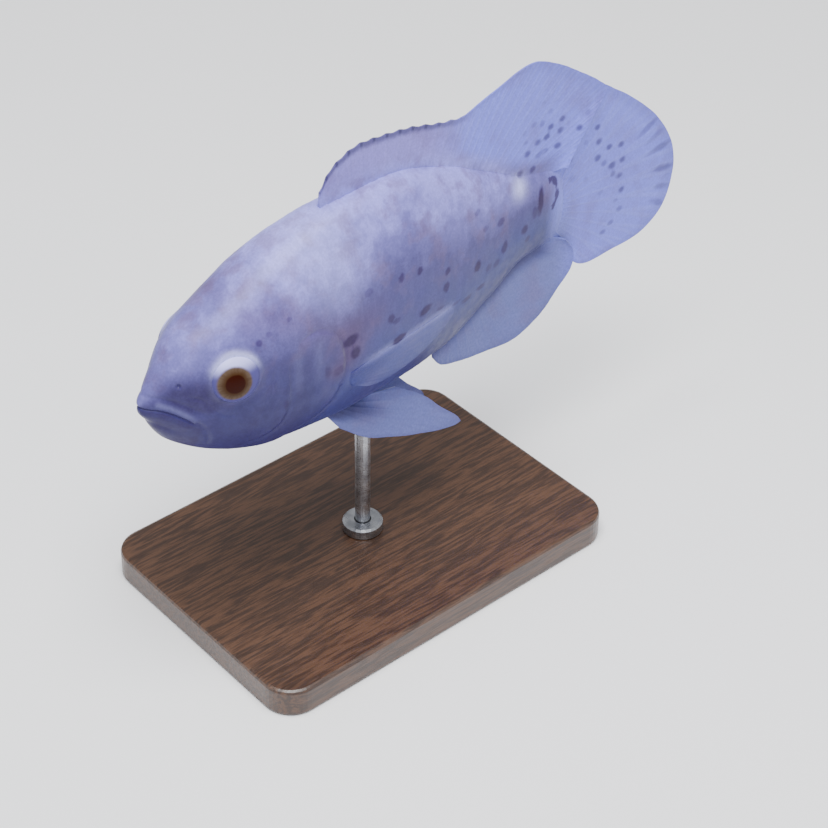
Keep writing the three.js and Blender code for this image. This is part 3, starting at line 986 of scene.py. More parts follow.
FIN_SPOTS = tuple(
    Spot(*numbers)
    for numbers in (
        (0.901, 0.151, 1.1, 0.9), (0.882, 0.115, 1.1, 0.9), (0.916, 0.112, 1.0, 0.9),
        (0.926, 0.166, 1.1, 0.9), (0.949, 0.17, 1.0, 0.9), (0.958, 0.189, 1.0, 0.8),
        (0.977, 0.142, 1.1, 0.9), (0.983, 0.173, 1.0, 0.9), (0.986, 0.198, 1.0, 0.8),
        (1.026, 0.166, 1.0, 0.8), (1.013, 0.093, 1.5, 1.2, 0, 0.85), (1.09, 0.137, 1.1, 0.8),
        (1.098, 0.103, 1.1, 0.9), (1.096, 0.065, 1.2, 1.0), (1.128, 0.078, 1.1, 0.8),
        (1.162, 0.072, 1.1, 0.8), (1.168, 0.035, 1.1, 0.9), (1.138, 0.033, 1.3, 1.0),
        (1.16, 0.001, 1.1, 0.9), (1.169, -0.035, 1.1, 0.9), (1.168, -0.08, 1.1, 0.9, 0, 0.7),
        (1.147, -0.105, 1.1, 0.8, 0, 0.7), (1.126, -0.12, 1.1, 0.8, 0, 0.7),
        (0.94, 0.14, 0.9, 0.7, 0, 0.5), (0.895, 0.178, 0.9, 0.7, 0, 0.5),
        (0.915, 0.21, 0.9, 0.7, 0, 0.4), (0.955, 0.225, 0.9, 0.7, 0, 0.35),
        (1.06, 0.115, 0.9, 0.7, 0, 0.35), (1.065, 0.03, 0.9, 0.7, 0, 0.3),
        (0.929, 0.137, 1.0, 0.8, 0, 0.6), (0.936, 0.204, 0.9, 0.8, 0, 0.5),
        (0.95, 0.141, 0.9, 0.7, 0, 0.6), (1.115, 0.046, 1.0, 0.8, 0, 0.6),
        (1.142, 0.012, 1.0, 0.8, 0, 0.7), (1.109, -0.018, 0.9, 0.7, 0, 0.4),
        (1.026, 0.047, 1.3, 0.9, 0, 0.35), (1.047, 0.192, 0.9, 0.8, 0, 0.4),
        (0.89, 0.2, 0.8, 0.7, 0, 0.35), (0.935, 0.25, 0.8, 0.7, 0, 0.3),
        (1.155, -0.055, 0.9, 0.7, 0, 0.5), (1.234, 0.083, 3.8, 0.9, 30, 0.6),
        (1.272, 0.025, 4.2, 1.0, 10, 0.75), (1.289, -0.031, 4.2, 1.0, -8, 0.75),
        (1.294, -0.076, 3.4, 0.9, -18, 0.65), (1.284, -0.112, 3.4, 0.9, -28, 0.55),
        (1.255, 0.055, 3.2, 0.8, 20, 0.45),
    )
)


@dataclass(frozen=True)
class Patch:
    """A soft round patch on the fish's side. A squash over 1 makes it flatter."""

    x: float
    z: float
    radius: float
    strength: float = 1.0
    squash: float = 1.0

    def at(self, x: Array, z: Array) -> Array:
        """Its strength at each place seen from the side."""
        return self.strength * hump(np.hypot(x - self.x, (z - self.z) * self.squash), self.radius)


DARK_FLANK = Patch(0.5, 0.1, 0.11, 0.13, 1.6)
# Painted highlight: a pale patch on the nape, where light from above falls.
NAPE_HIGHLIGHT = Patch(0.36, 0.17, 0.07, 0.3, 0.8)
# Painted highlight: a bright patch on the tail stem, in front of the ring mark.
TAIL_HIGHLIGHT = Patch(0.868, 0.097, 0.021, 1.0, 1.1)
SNOUT_SHADE = (Patch(0.094, -0.002, 0.044, 1.15), Patch(0.05, 0.014, 0.032, 0.7))
TAIL_BLUSH = (Patch(1.05, -0.07, 0.05, 0.2), Patch(1.16, 0.02, 0.06, 0.2))
SADDLE = SideLine(((0.15, 0.12), (0.2, 0.125), (0.27, 0.1), (0.34, 0.06), (0.42, 0.04), (0.52, 0.05)))
HALOES = (
    Stroke(SADDLE, ((0.0, 0.55, 4.5),), fade_in=(0.0, 0.15)),
    Patch(0.385, -0.005, 0.034, squash=0.8),
    Patch(0.35, -0.04, 0.022, 0.7),
    Patch(0.945, 0.04, 0.035, 0.3),
)
LIP_LINE = SideLine(((0.018, 0.001), (0.045, -0.013), (0.083, -0.046)))
# Painted highlight: a pale streak along the lit top of the upper lip.
LIP_HIGHLIGHT = Stroke(LIP_LINE, ((0.0, 0.13, 0.8),), fade_in=(0.0, 0.12), fade_out=0.75)
PECTORAL_LINE = SideLine(((0.4, -0.056), (0.45, -0.052), (0.53, -0.05), (0.6, -0.049), (0.68, -0.051)))
PECTORAL_RIM = Stroke(PECTORAL_LINE, ((0.0, 0.34, 1.1),), fade_in=(0.0, 0.35), fade_out=0.85)
RING = SideLine(((0.952, 0.072), (0.966, 0.074), (0.98, 0.046), (0.974, 0.02), (0.958, 0.008)))
COVER_BARS = (0.267, 0.312)
MIDLINE = 0.06


class Markings:
    """The colours' layout on the skin and on the scales, as fields that the skin material reads."""

    @staticmethod
    def marks(x: Array, y: Array, z: Array) -> tuple[Array, Array]:
        """The dark spots and the ring at the tail's root.

        Args:
            x: Places along the fish.
            y: Places across it.
            z: Places up it.

        Returns:
            1 at a mark's middle and 0 at its edge, and how dark the nearest mark is.
        """
        mark, ink = np.full(len(x), -1.0), np.zeros(len(x))
        midline = np.abs(y) < MIDLINE
        on_body, on_fins = (BODY_SPOTS, x < 0.99, 1.0, 1.0), (FIN_SPOTS, midline, 0.72, 0.62)
        for spots, where, strength, firm in (on_body, on_fins):
            for spot in spots:
                field = np.where(where, spot.field(x, z) * firm, -1.0)
                ink = np.where(field > mark, spot.ink * strength, ink)
                mark = np.maximum(mark, field)
        away, run = RING.measure(x, z)
        ring = 1 - np.abs(away) / (0.8 + 0.3 * np.sin(run * 23))
        ringed = (run > 0.02) & (run < 0.98) & midline & (ring > mark)
        return np.where(ringed, ring, mark), np.where(ringed, 0.9, ink)

    @staticmethod
    def shade(x: Array, z: Array) -> tuple[Array, Array]:
        """The ground's lightness, partly countershading and partly painted shade, and the darkening over the
        lower face and the belly, which is painted shade with some dark pigment.

        Args:
            x: Places along the fish.
            z: Places up the fish.

        Returns:
            The tone, from dark to pale, and the darkening of painted shade and pigment.
        """
        middle = FORM.widest_at.at(x)
        level = (z - middle) / FORM.reach(x, z > middle)
        # Paler up the body and darker down it: partly the fish's countershading, partly painted shade of
        # light from above.
        tone = eased(-1.05, 1.0, level) - 0.24 * eased(0.72, 1.0, x) - 0.13 * eased(0.29, 0.17, x)
        head = eased(0.4, 0.26, x)
        low_face = 0.8075 * eased(0.085 + 0.05 * eased(0.15, 0.24, x), -0.06, z)
        slit, _ = MOUTH.measure(x, z)
        # Painted shade on the lower lip, below the mouth's slit.
        under_lip_shade = eased(0.3, -0.8, slit) * eased(0.1, 0.08, x)
        snout = sum(patch.at(x, z) for patch in SNOUT_SHADE)
        # Painted shade under the face and the belly, with some dark pigment on the chin.
        dusk_and_painted_shade = head * np.maximum(np.maximum(low_face, under_lip_shade), snout)
        return tone - DARK_FLANK.at(x, z), np.maximum(dusk_and_painted_shade, 0.42 * eased(-0.25, -0.95, level) * (1 - head))

    @staticmethod
    def pale(x: Array, y: Array, z: Array, fin: Array) -> Array:
        """The painted highlights on the upper lip and the nape, the pale bars of the gill cover and the pale
        edge of the pectoral fin.

        Args:
            x: Places along the fish.
            y: Places across it.
            z: Places up it.
            fin: 1 on fins, 0 on the body.

        Returns:
            How pale each place is.
        """
        # The lip's streak and the nape's patch are painted highlights.
        pale = LIP_HIGHLIGHT.at(x, z) * (np.abs(y) > 0.01) + NAPE_HIGHLIGHT.at(x, z)
        level = eased(0.06, 0.03, z) * eased(-0.06, -0.02, z)
        for bar in COVER_BARS:
            pale = pale + 0.07 * hump((x - bar) * LENGTH_MM, 1.5) * level
        return pale + PECTORAL_RIM.at(x, z) * (fin < 0.5)

    @staticmethod
    def painted_crease_shade(x: Array, z: Array, fin: Array) -> Array:
        """Painted shade: the dark lines in the gap behind the gill cover and in the mouth's slit.

        Args:
            x: Places along the fish.
            z: Places up the fish.
            fin: 1 on fins, 0 on the body.

        Returns:
            How dark each place is.
        """
        behind = hump(gill_gap(x, z) + 0.4, 0.9) * eased(0.3, 0.33, x) * eased(0.05, 0.02, z) * (fin < 0.5)
        slit, run = MOUTH.measure(x, z)
        return 0.3 * behind + 0.35 * hump(slit, 0.5) * eased(1, 0.9, run)

    def paint(self, mesh: bpy.types.Mesh, fin: Array, facts: dict[str, Array]) -> None:
        """Stores the fields on a mesh.

        Args:
            mesh: The skin's or the scales' mesh.
            fin: 1 on fins, 0 on the body.
            facts: The ray number, the share of the ray run and the paired fins' mark of each vertex.
        """
        points = corners(mesh)
        x, y, z = to_fish(points)
        mark, ink = self.marks(x, y, z)
        tone, dusk_and_painted_shade = self.shade(x, z)
        halo = np.clip(sum(part.at(x, z) for part in HALOES), 0, 1) * (1 - fin)
        blush = sum(patch.at(x, z) for patch in TAIL_BLUSH) * (x > 0.9)
        eye, above = EYE.off_axis(points)
        fields = {
            "mark": mark,
            "ink": ink,
            # Tone: partly countershading, partly painted shade.
            "tone": tone,
            # Painted shade under the face and the belly, with some dark pigment on the chin.
            "dusk_and_painted_shade": np.clip(dusk_and_painted_shade, 0, 1) * (1 - fin),
            "halo": halo + blush,
            # Pale marks, with the painted highlights of the lip and the nape.
            "pale": np.clip(self.pale(x, y, z, fin), 0, 1) * (1 - fin * (facts["paired"] > 0.5)),
            # Where the fins are lit from above; the fins below the body stay dark as painted shade.
            "lit": np.maximum(eased(-0.12, 0.05, z), eased(0.98, 1.06, x)),
            # Painted highlight on the skin round the eye, strongest at its top, where light from above falls.
            "eye_rim_highlight": hump(eye - 6.2, 1.2) * (0.06 + 0.94 * eased(0.5, 5.5, above)),
            # Painted highlight on the tail stem.
            "painted_tail_highlight": TAIL_HIGHLIGHT.at(x, z) * (1 - fin),
            # Painted shade in the mouth's slit and the gill gap.
            "painted_crease_shade": np.clip(self.painted_crease_shade(x, z, fin), 0, 1),
            "fin": fin,
            "spine": eased(0.78, 0.64, x) * (z > 0.1) * (fin > 0),
            "ray": facts["ray"],
            "along": facts["along"],
        }
        for name, values in fields.items():
            record_field(mesh, name, values)


MARKINGS = Markings()


class Nodes:
    """A shader's node tree, with short ways to add nodes and join them."""

    def __init__(self, tree: bpy.types.NodeTree) -> None:
        """Takes the tree that the nodes go into."""
        self.tree = tree

    def add(self, kind: str, inputs: dict | None = None, **settings: object) -> bpy.types.Node:
        """Adds a node.

        Args:
            kind: Blender's name of the node type.
            inputs: For each input, by name or number, a plain value or the socket that feeds it.
            settings: The node's own properties.

        Returns:
            The node.
        """
        node = self.tree.nodes.new(kind)
        for name, value in settings.items():
            setattr(node, name, value)
        self.feed(node, inputs or {})
        return node

    def feed(self, node: bpy.types.Node, inputs: dict) -> None:
        """Sets a node's inputs.

        Args:
            node: The node.
            inputs: For each input, by name or number, a plain value or the socket that feeds it.
        """
        for name, value in inputs.items():
            if isinstance(value, bpy.types.NodeSocket):
                self.tree.links.new(value, node.inputs[name])
            else:
                node.inputs[name].default_value = value

    def shade(self, inputs: dict) -> None:
        """Sets the inputs of a material's shader."""
        self.feed(self.tree.nodes["Principled BSDF"], inputs)

    def bump(self, height: object, distance: float, strength: float) -> bpy.types.NodeSocket:
        """The normals of a small relief, its depth in metres."""
        inputs = {"Height": height, "Distance": distance, "Strength": strength}
        return self.add("ShaderNodeBump", inputs).outputs["Normal"]

    def field(self, name: str) -> bpy.types.NodeSocket:
        """The value of a field stored on the mesh."""
        return self.add("ShaderNodeAttribute", attribute_name=name).outputs["Fac"]

    def maths(self, operation: str, *values: object, clamp: bool = False) -> bpy.types.NodeSocket:
        """The result of an operation on up to three values."""
        node = self.add("ShaderNodeMath", dict(enumerate(values)), operation=operation, use_clamp=clamp)
        return node.outputs[0]

    def mix(self, share: object, first: object, second: object, way: str = "MIX") -> bpy.types.NodeSocket:
        """One colour laid over another by a share."""
        node = self.add("ShaderNodeMix", {0: share, 6: first, 7: second}, data_type="RGBA", blend_type=way)
        return node.outputs[2]

    def rise(
        self, value: object, low: float, high: float, bottom: float = 0, top: float = 1
    ) -> bpy.types.NodeSocket:
        """A smooth rise of a value from bottom at low to top at high."""
        inputs = {"Value": value, "From Min": low, "From Max": high, "To Min": bottom, "To Max": top}
        return self.add("ShaderNodeMapRange", inputs, interpolation_type="SMOOTHSTEP").outputs["Result"]

    def noise(
        self, where: object, scale: float, detail: float = 3, rough: float = 0.55
    ) -> bpy.types.NodeSocket:
        """A soft random pattern around one half."""
        inputs = {"Vector": where, "Scale": scale, "Detail": detail, "Roughness": rough}
        return self.add("ShaderNodeTexNoise", inputs).outputs["Fac"]

    def ramp(self, value: object, stops: tuple[tuple[float, Colour], ...]) -> bpy.types.NodeSocket:
        """A colour picked along a row of stops.

        Args:
            value: What picks the colour, from 0 to 1.
            stops: The place and the colour of each stop.

        Returns:
            The colour.
        """
        node = self.add("ShaderNodeValToRGB", {"Fac": value})
        elements = node.color_ramp.elements
        while len(elements) < len(stops):
            elements.new(0.5)
        for element, (at, colour) in zip(elements, stops):
            element.position = at
            element.color = colour
        return node.outputs["Color"]

    def place(self, scale: tuple[float, ...] = (1, 1, 1)) -> bpy.types.NodeSocket:
        """The place on the object in metres, each way times a scale."""
        place = self.add("ShaderNodeTexCoord").outputs["Object"]
        return self.add("ShaderNodeMapping", {"Vector": place, "Scale": scale}).outputs["Vector"]


def new_material(name: str) -> tuple[bpy.types.Material, Nodes]:
    """Makes a material with nodes.

    Args:
        name: Its name.

    Returns:
        The material and its nodes.
    """
    material = bpy.data.materials.new(name)
    material.use_nodes = True
    return material, Nodes(material.node_tree)


@dataclass(frozen=True)
class SkinColours:
    """The colours of the fish as seen on a screen, some of them with painted light and shade in them."""

    # From belly to back the fish grows paler: partly its own countershading, partly painted shade of light
    # from above.
    belly: Colour = srgb(52, 57, 117)
    low_flank: Colour = srgb(61, 66, 127)
    flank: Colour = srgb(77, 73, 129)
    high_flank: Colour = srgb(110, 106, 176)
    back: Colour = srgb(144, 141, 224)
    warm: Colour = srgb(106, 86, 122)
    # Painted shade under the head, with some of the chin's dark pigment.
    chin: Colour = srgb(45, 37, 82)
    # Pale marks, and the painted highlights on the lip and the nape.
    pale: Colour = srgb(172, 174, 244)
    # Painted highlight, on the tail stem and on the top of the eye's rim.
    rim: Colour = srgb(188, 190, 250)
    halo: Colour = srgb(88, 62, 92)
    # The spots' ink, also used for painted shade in the mouth's slit and the gill gap.
    mark: Colour = srgb(42, 20, 72)
    membrane: Colour = srgb(120, 126, 232)
    # Painted shade on the fins below the body.
    low_membrane: Colour = srgb(100, 107, 172)
    spiny_membrane: Colour = srgb(140, 129, 206)
    ray: Colour = srgb(140, 148, 240)
    fin_edge: Colour = srgb(52, 48, 92)


class SkinPattern:
    """The shared group of nodes that colours the skin and the scales alike."""

    def __init__(self, colours: SkinColours) -> None:
        """Builds the group once.

        Args:
            colours: The fish's colours.
        """
        self.tree = bpy.data.node_groups.new("fish_skin_pattern", "ShaderNodeTree")
        sockets = {"Flake tint": "INPUT", "Grain height": "INPUT", "Roughness": "OUTPUT", "Height": "OUTPUT"}
        self.tree.interface.new_socket(name="Colour", in_out="OUTPUT", socket_type="NodeSocketColor")
        for label, way in sockets.items():
            self.tree.interface.new_socket(name=label, in_out=way, socket_type="NodeSocketFloat")
        self.colours = colours
        self.nodes = nodes = Nodes(self.tree)
        given = nodes.add("NodeGroupInput")
        self.where = nodes.place()
        self.broad = nodes.noise(self.where, 85, 4)
        self.middle = nodes.noise(self.where, 330, 4)
        self.fine = nodes.noise(self.where, 1500, 2)
        self.rays = self.ray_line()
        colour = self.marks(self.fins(self.body()))
        flake = nodes.maths("MULTIPLY", nodes.field("flake"), given.outputs["Flake tint"])
        speck = nodes.rise(nodes.maths("ADD", self.fine, flake), 0.3, 0.75, 0.9, 1.07)
        grey = nodes.add("ShaderNodeCombineColor", dict.fromkeys(range(3), speck)).outputs[0]
        ridge = nodes.maths("MULTIPLY", nodes.maths("MULTIPLY", self.rays, nodes.field("fin")), 0.06)
        grain = nodes.maths("MULTIPLY", self.fine, given.outputs["Grain height"])
        pits = nodes.maths("MULTIPLY", self.middle, 0.05)
        results = {
            "Colour": nodes.mix(1.0, colour, grey, "MULTIPLY"),
            "Roughness": nodes.rise(self.middle, 0.3, 0.7, 0.36, 0.5),
            "Height": nodes.maths("ADD", nodes.maths("ADD", ridge, grain), pits),
        }
        nodes.add("NodeGroupOutput", results)

    def ray_line(self) -> bpy.types.NodeSocket:
        """1 along the middle of each fin ray, which splits in two towards its tip.

        Returns:
            The mask.
        """
        nodes = self.nodes
        off = nodes.maths("PINGPONG", nodes.field("ray"), 0.5)
        share = nodes.rise(nodes.field("along"), 0.4, 1.0, 0, 0.22)
        split = nodes.maths("MULTIPLY", share, nodes.maths("SUBTRACT", 1.0, nodes.field("spine")))
        gap = nodes.maths("ABSOLUTE", nodes.maths("SUBTRACT", off, split))
        return nodes.rise(gap, 0.16, 0.05)

    def body(self) -> bpy.types.NodeSocket:
        """The ground colour: pale back and darker belly, partly countershading and partly painted shade, a
        chin darkened by painted shade and dark pigment, pale marks and painted highlights, with soft clouds.

        Returns:
            The colour.
        """
        nodes, colours = self.nodes, self.colours
        clouds = nodes.maths("MULTIPLY_ADD", self.broad, 0.42, -0.21)
        small = nodes.maths("MULTIPLY_ADD", self.middle, 0.2, -0.1)
        tone = nodes.maths("ADD", nodes.maths("ADD", nodes.field("tone"), clouds), small, clamp=True)
        # The ramp from belly to back is partly countershading, partly painted shade.
        stops = (
            (0.0, colours.belly), (0.3, colours.low_flank), (0.66, colours.flank),
            (0.86, colours.high_flank), (1.0, colours.back),
        )
        patches = nodes.rise(nodes.noise(self.where, 140, 3), 0.48, 0.68)
        warm = nodes.maths("MULTIPLY", patches, nodes.rise(tone, 0.35, 0.9, 0.12, 0.5))
        colour = nodes.mix(warm, nodes.ramp(tone, stops), colours.warm)
        # Painted shade under the face and the belly, with some dark pigment.
        chin = nodes.maths("MULTIPLY", nodes.field("dusk_and_painted_shade"), nodes.rise(self.middle, 0.3, 0.7, 0.8, 1.0))
        colour = nodes.mix(chin, colour, colours.chin)
        # Pale marks, and the painted highlights of the lip and the nape.
        return nodes.mix(nodes.field("pale"), colour, colours.pale)

    def fins(self, colour: object) -> bpy.types.NodeSocket:
        """The fins: pale rays over a darker membrane, with a dark edge, and painted shade on the fins below
        the body.

        Args:
            colour: The body's colour.

        Returns:
            The colour.
        """
        nodes, colours = self.nodes, self.colours
        lit, spine = nodes.field("lit"), nodes.field("spine")
        rays = nodes.maths("MULTIPLY", self.rays, nodes.rise(self.middle, 0.3, 0.7, 0.1, 0.4))
        # Painted shade: the fins below the body take the darker low membrane, and their rays fade.
        fin = nodes.mix(lit, colours.low_membrane, colours.membrane)
        fin = nodes.mix(nodes.maths("MULTIPLY", rays, lit), fin, colours.ray)
        fin = nodes.mix(nodes.maths("MULTIPLY", spine, 0.85), fin, colours.spiny_membrane)
        fin = nodes.mix(nodes.rise(self.broad, 0.45, 0.7, 0, 0.3), fin, colours.warm)
        tip = nodes.maths("ADD", nodes.field("along"), nodes.maths("MULTIPLY_ADD", self.middle, 0.06, -0.03))
        beads = nodes.maths("MULTIPLY_ADD", self.rays, 0.22, 0.55)
        strength = nodes.maths("MULTIPLY_ADD", spine, beads, 0.16)
        edge = nodes.maths("MULTIPLY", nodes.rise(tip, 0.86, 0.97), strength)
        return nodes.mix(nodes.field("fin"), colour, nodes.mix(edge, fin, colours.fin_edge))

    def marks(self, colour: object) -> bpy.types.NodeSocket:
        """Dark marks with ragged edges, their reddish surrounds, the ring mark, painted highlights on the
        tail stem and the eye's rim, and painted shade in the mouth's slit and the gill gap.

        Args:
            colour: What the marks lie on.

        Returns:
            The colour.
        """
        nodes, colours = self.nodes, self.colours
        ragged = nodes.maths("ADD", nodes.field("mark"), nodes.maths("MULTIPLY_ADD", self.middle, 0.7, -0.35))
        ragged = nodes.maths("ADD", ragged, nodes.maths("MULTIPLY_ADD", self.fine, 0.3, -0.15))
        mask = nodes.maths("MULTIPLY", nodes.rise(ragged, -0.28, 0.34), nodes.field("ink"))
        layers = (
            (nodes.field("halo"), 0.6, colours.halo),
            # Painted highlight on the tail stem.
            (nodes.field("painted_tail_highlight"), 0.9, colours.rim),
            (mask, 0.92, colours.mark),
            # Painted shade in the mouth's slit and the gill gap.
            (nodes.field("painted_crease_shade"), 0.8, colours.mark),
            # Painted highlight round the eye, brightest at its top.
            (nodes.field("eye_rim_highlight"), 1.0, colours.rim),
        )
        for share, strength, tint in layers:
            colour = nodes.mix(nodes.maths("MULTIPLY", share, strength), colour, tint)
        return colour


@dataclass(frozen=True)
class SkinFinish:
    """The wet, soft skin of the fish, for the body and fins or for the scales."""

    name: str
    flake_tint: float = 0.0
    grain: float = 0.02
    coat: float = 0.04
    coat_roughness: float = 0.22
    specular: float = 0.2

    def material(self, pattern: SkinPattern) -> bpy.types.Material:
        """Makes the material.

        Args:
            pattern: The group that colours the fish.

        Returns:
            The material.
        """
        material, nodes = new_material(self.name)
        group = nodes.add("ShaderNodeGroup", node_tree=pattern.tree)
        nodes.feed(group, {"Flake tint": self.flake_tint, "Grain height": self.grain})
        shading = {
            "Base Color": group.outputs["Colour"],
            "Roughness": group.outputs["Roughness"],
            "Normal": nodes.bump(group.outputs["Height"], MM, 0.8),
            "Coat Weight": self.coat,
            "Coat Roughness": self.coat_roughness,
            "Specular IOR Level": self.specular,
        }
        nodes.shade(shading)
        return material


@dataclass
class Skin:
    """The one skin of body and fins."""

    segments: int = 216
    rings: int = 186
    crowding: float = 1.9
    cap_share: float = 0.045
    fine_lips: float = 3.4
    fine_lids: tuple[float, float] = (4.2, 8.2)
    fine_gill: float = 1.3
    fine_nostril: float = 0.013

    def places(self, sphere: Array) -> tuple[Array, Array]:
        """Spreads the points of a unit sphere over the body.

        Args:
            sphere: Points on the sphere, its poles at the snout and the tail.

        Returns:
            x and the angle round the section.
        """
        unit = sphere / np.linalg.norm(sphere, axis=1, keepdims=True)
        run = np.arccos(np.clip(unit[:, 2], -1, 1)) / math.pi
        turn = np.arctan2(unit[:, 1], -unit[:, 0])
        angle = turn - 0.15 * np.sin(2 * turn)
        before = np.clip(run / (1 - self.cap_share), 0, 1)
        on_cap = np.clip((run - 1 + self.cap_share) / self.cap_share, 0, 1)
        x = FORM.cap_from * before**self.crowding + (FORM.end - FORM.cap_from) * np.sin(on_cap * math.pi / 2)
        return x, angle

    def folded(self, mesh: bpy.types.Mesh) -> Array:
        """Picks the faces to refine: at the mouth, the eyes, the gill covers and the nostrils.

        Args:
            mesh: The sphere.

        Returns:
            True for each such face.
        """
        x, angle = self.places(rows_of(mesh.polygons, "center"))
        spots = FORM.surface(x, angle)
        _, _, z = to_fish(spots)
        slit, share = MOUTH.measure(x, z)
        eye, _ = EYE.off_axis(spots)
        at_mouth = (np.abs(slit) < self.fine_lips) & (share < 0.999) & (x < 0.1)
        at_eye = (eye > self.fine_lids[0]) & (eye < self.fine_lids[1])
        at_gill = (np.abs(gill_gap(x, z) + 0.3) < self.fine_gill) & (x > 0.25) & (x < 0.4)
        at_nostril = np.hypot(x - RELIEF.nostril[0], z - RELIEF.nostril[2]) < self.fine_nostril
        return at_mouth | at_eye | at_gill | at_nostril

    def body(self) -> bpy.types.Object:
        """Models the body: a sphere, refined where the head has folds, drawn out to the fish's form.

        Returns:
            The body's piece.
        """
        bpy.ops.mesh.primitive_uv_sphere_add(segments=self.segments, ring_count=self.rings, radius=1)
        piece = newest("oscar_skin")
        mesh = piece.data
        fine = self.folded(mesh)
        use(piece)
        bpy.context.tool_settings.mesh_select_mode = (False, False, True)
        for parts in (mesh.vertices, mesh.edges):
            parts.foreach_set("select", np.zeros(len(parts), bool))
        mesh.polygons.foreach_set("select", fine)
        bpy.ops.object.mode_set(mode="EDIT")
        bpy.ops.mesh.subdivide(number_cuts=1)
        bpy.ops.object.mode_set(mode="OBJECT")
        x, angle = self.places(corners(mesh))
        place(mesh, FORM.surface(x, angle))
        base = corners(mesh)
        place(mesh, base + rows_of(mesh.vertices, "normal") * RELIEF.lift(base)[:, None])
        turn_faces_out(piece)
        return piece

    def build(self, material: bpy.types.Material) -> bpy.types.Object:
        """Joins the body and the fins into one skin and paints it.

        Args:
            material: The skin's material.

        Returns:
            The skin's piece.
        """
        piece = self.body()
        LOG.info("body: %d vertices", len(piece.data.vertices))
        known = [corners(piece.data)]
        none = np.zeros(len(piece.data.vertices))
        facts = {"ray": [none], "along": [none - 0.2], "paired": [none]}
        for fin in FINS:
            part, notes = fin.build()
            known.append(corners(part.data))
            for name, values in notes.items():
                facts[name].append(values)
            join = piece.modifiers.new("join", "BOOLEAN")
            join.operation = "UNION"
            join.solver = "MANIFOLD"
            join.object = part
            apply_modifier(piece, join)
            bpy.data.objects.remove(part)
            LOG.info("%s joined: %d vertices", fin.name, len(piece.data.vertices))
        self.mend(piece.data)
        self.paint(piece, np.vstack(known), {name: np.concatenate(parts) for name, parts in facts.items()})
        soften(piece, 50)
        dress(piece, material)
        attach(piece, "root")
        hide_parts(*[node for node in frame["nodes"] if not node.startswith(("stand_", "eye_"))])
        LOG.info("skin: %d faces", len(piece.data.polygons))
        return piece

    @staticmethod
    def mend(mesh: bpy.types.Mesh) -> None:
        """Merges vertices that coincide, and deletes the flat folds that this shows up.

        Args:
            mesh: The joined skin.
        """
        shape = bmesh.new()
        shape.from_mesh(mesh)
        bmesh.ops.triangulate(shape, faces=shape.faces)
        bmesh.ops.remove_doubles(shape, verts=shape.verts, dist=1e-6)
        same: dict[frozenset, list[bmesh.types.BMFace]] = {}
        for face in shape.faces:
            same.setdefault(frozenset(face.verts), []).append(face)
        folds = {face for faces in same.values() if len(faces) > 1 for face in faces}
        folds |= {edge.link_faces[0] for edge in shape.edges if len(edge.link_faces) == 1}
        bmesh.ops.delete(shape, geom=list(folds), context="FACES")
        open_edges = sum(len(edge.link_faces) != 2 for edge in shape.edges)
        LOG.info("skin mended: %d folded faces deleted, %d open edges", len(folds), open_edges)
        shape.to_mesh(mesh)
        shape.free()

    @staticmethod
    def paint(piece: bpy.types.Object, known: Array, facts: dict[str, Array]) -> None:
        """Gives each vertex of the joined skin the facts of the vertex it came from.

        Args:
            piece: The skin.
            known: The places of the vertices before the parts were joined.
            facts: What is known of each.
        """
        tree = KDTree(len(known))
        for index, point in enumerate(known):
            tree.insert(point, index)
        tree.balance()
        nearest = np.array([tree.find(vertex.co)[1] for vertex in piece.data.vertices])
        found = {name: values[nearest] for name, values in facts.items()}
        x, y, z = to_fish(corners(piece.data))
        median = fin_share(x, z) * eased(MIDLINE, 0.04, np.abs(y))
        paired = found["paired"] * eased(0.12, 0.5, found["along"])
        fin = np.where(found["paired"] > 0.1, paired, median)
        MARKINGS.paint(piece.data, fin, found)


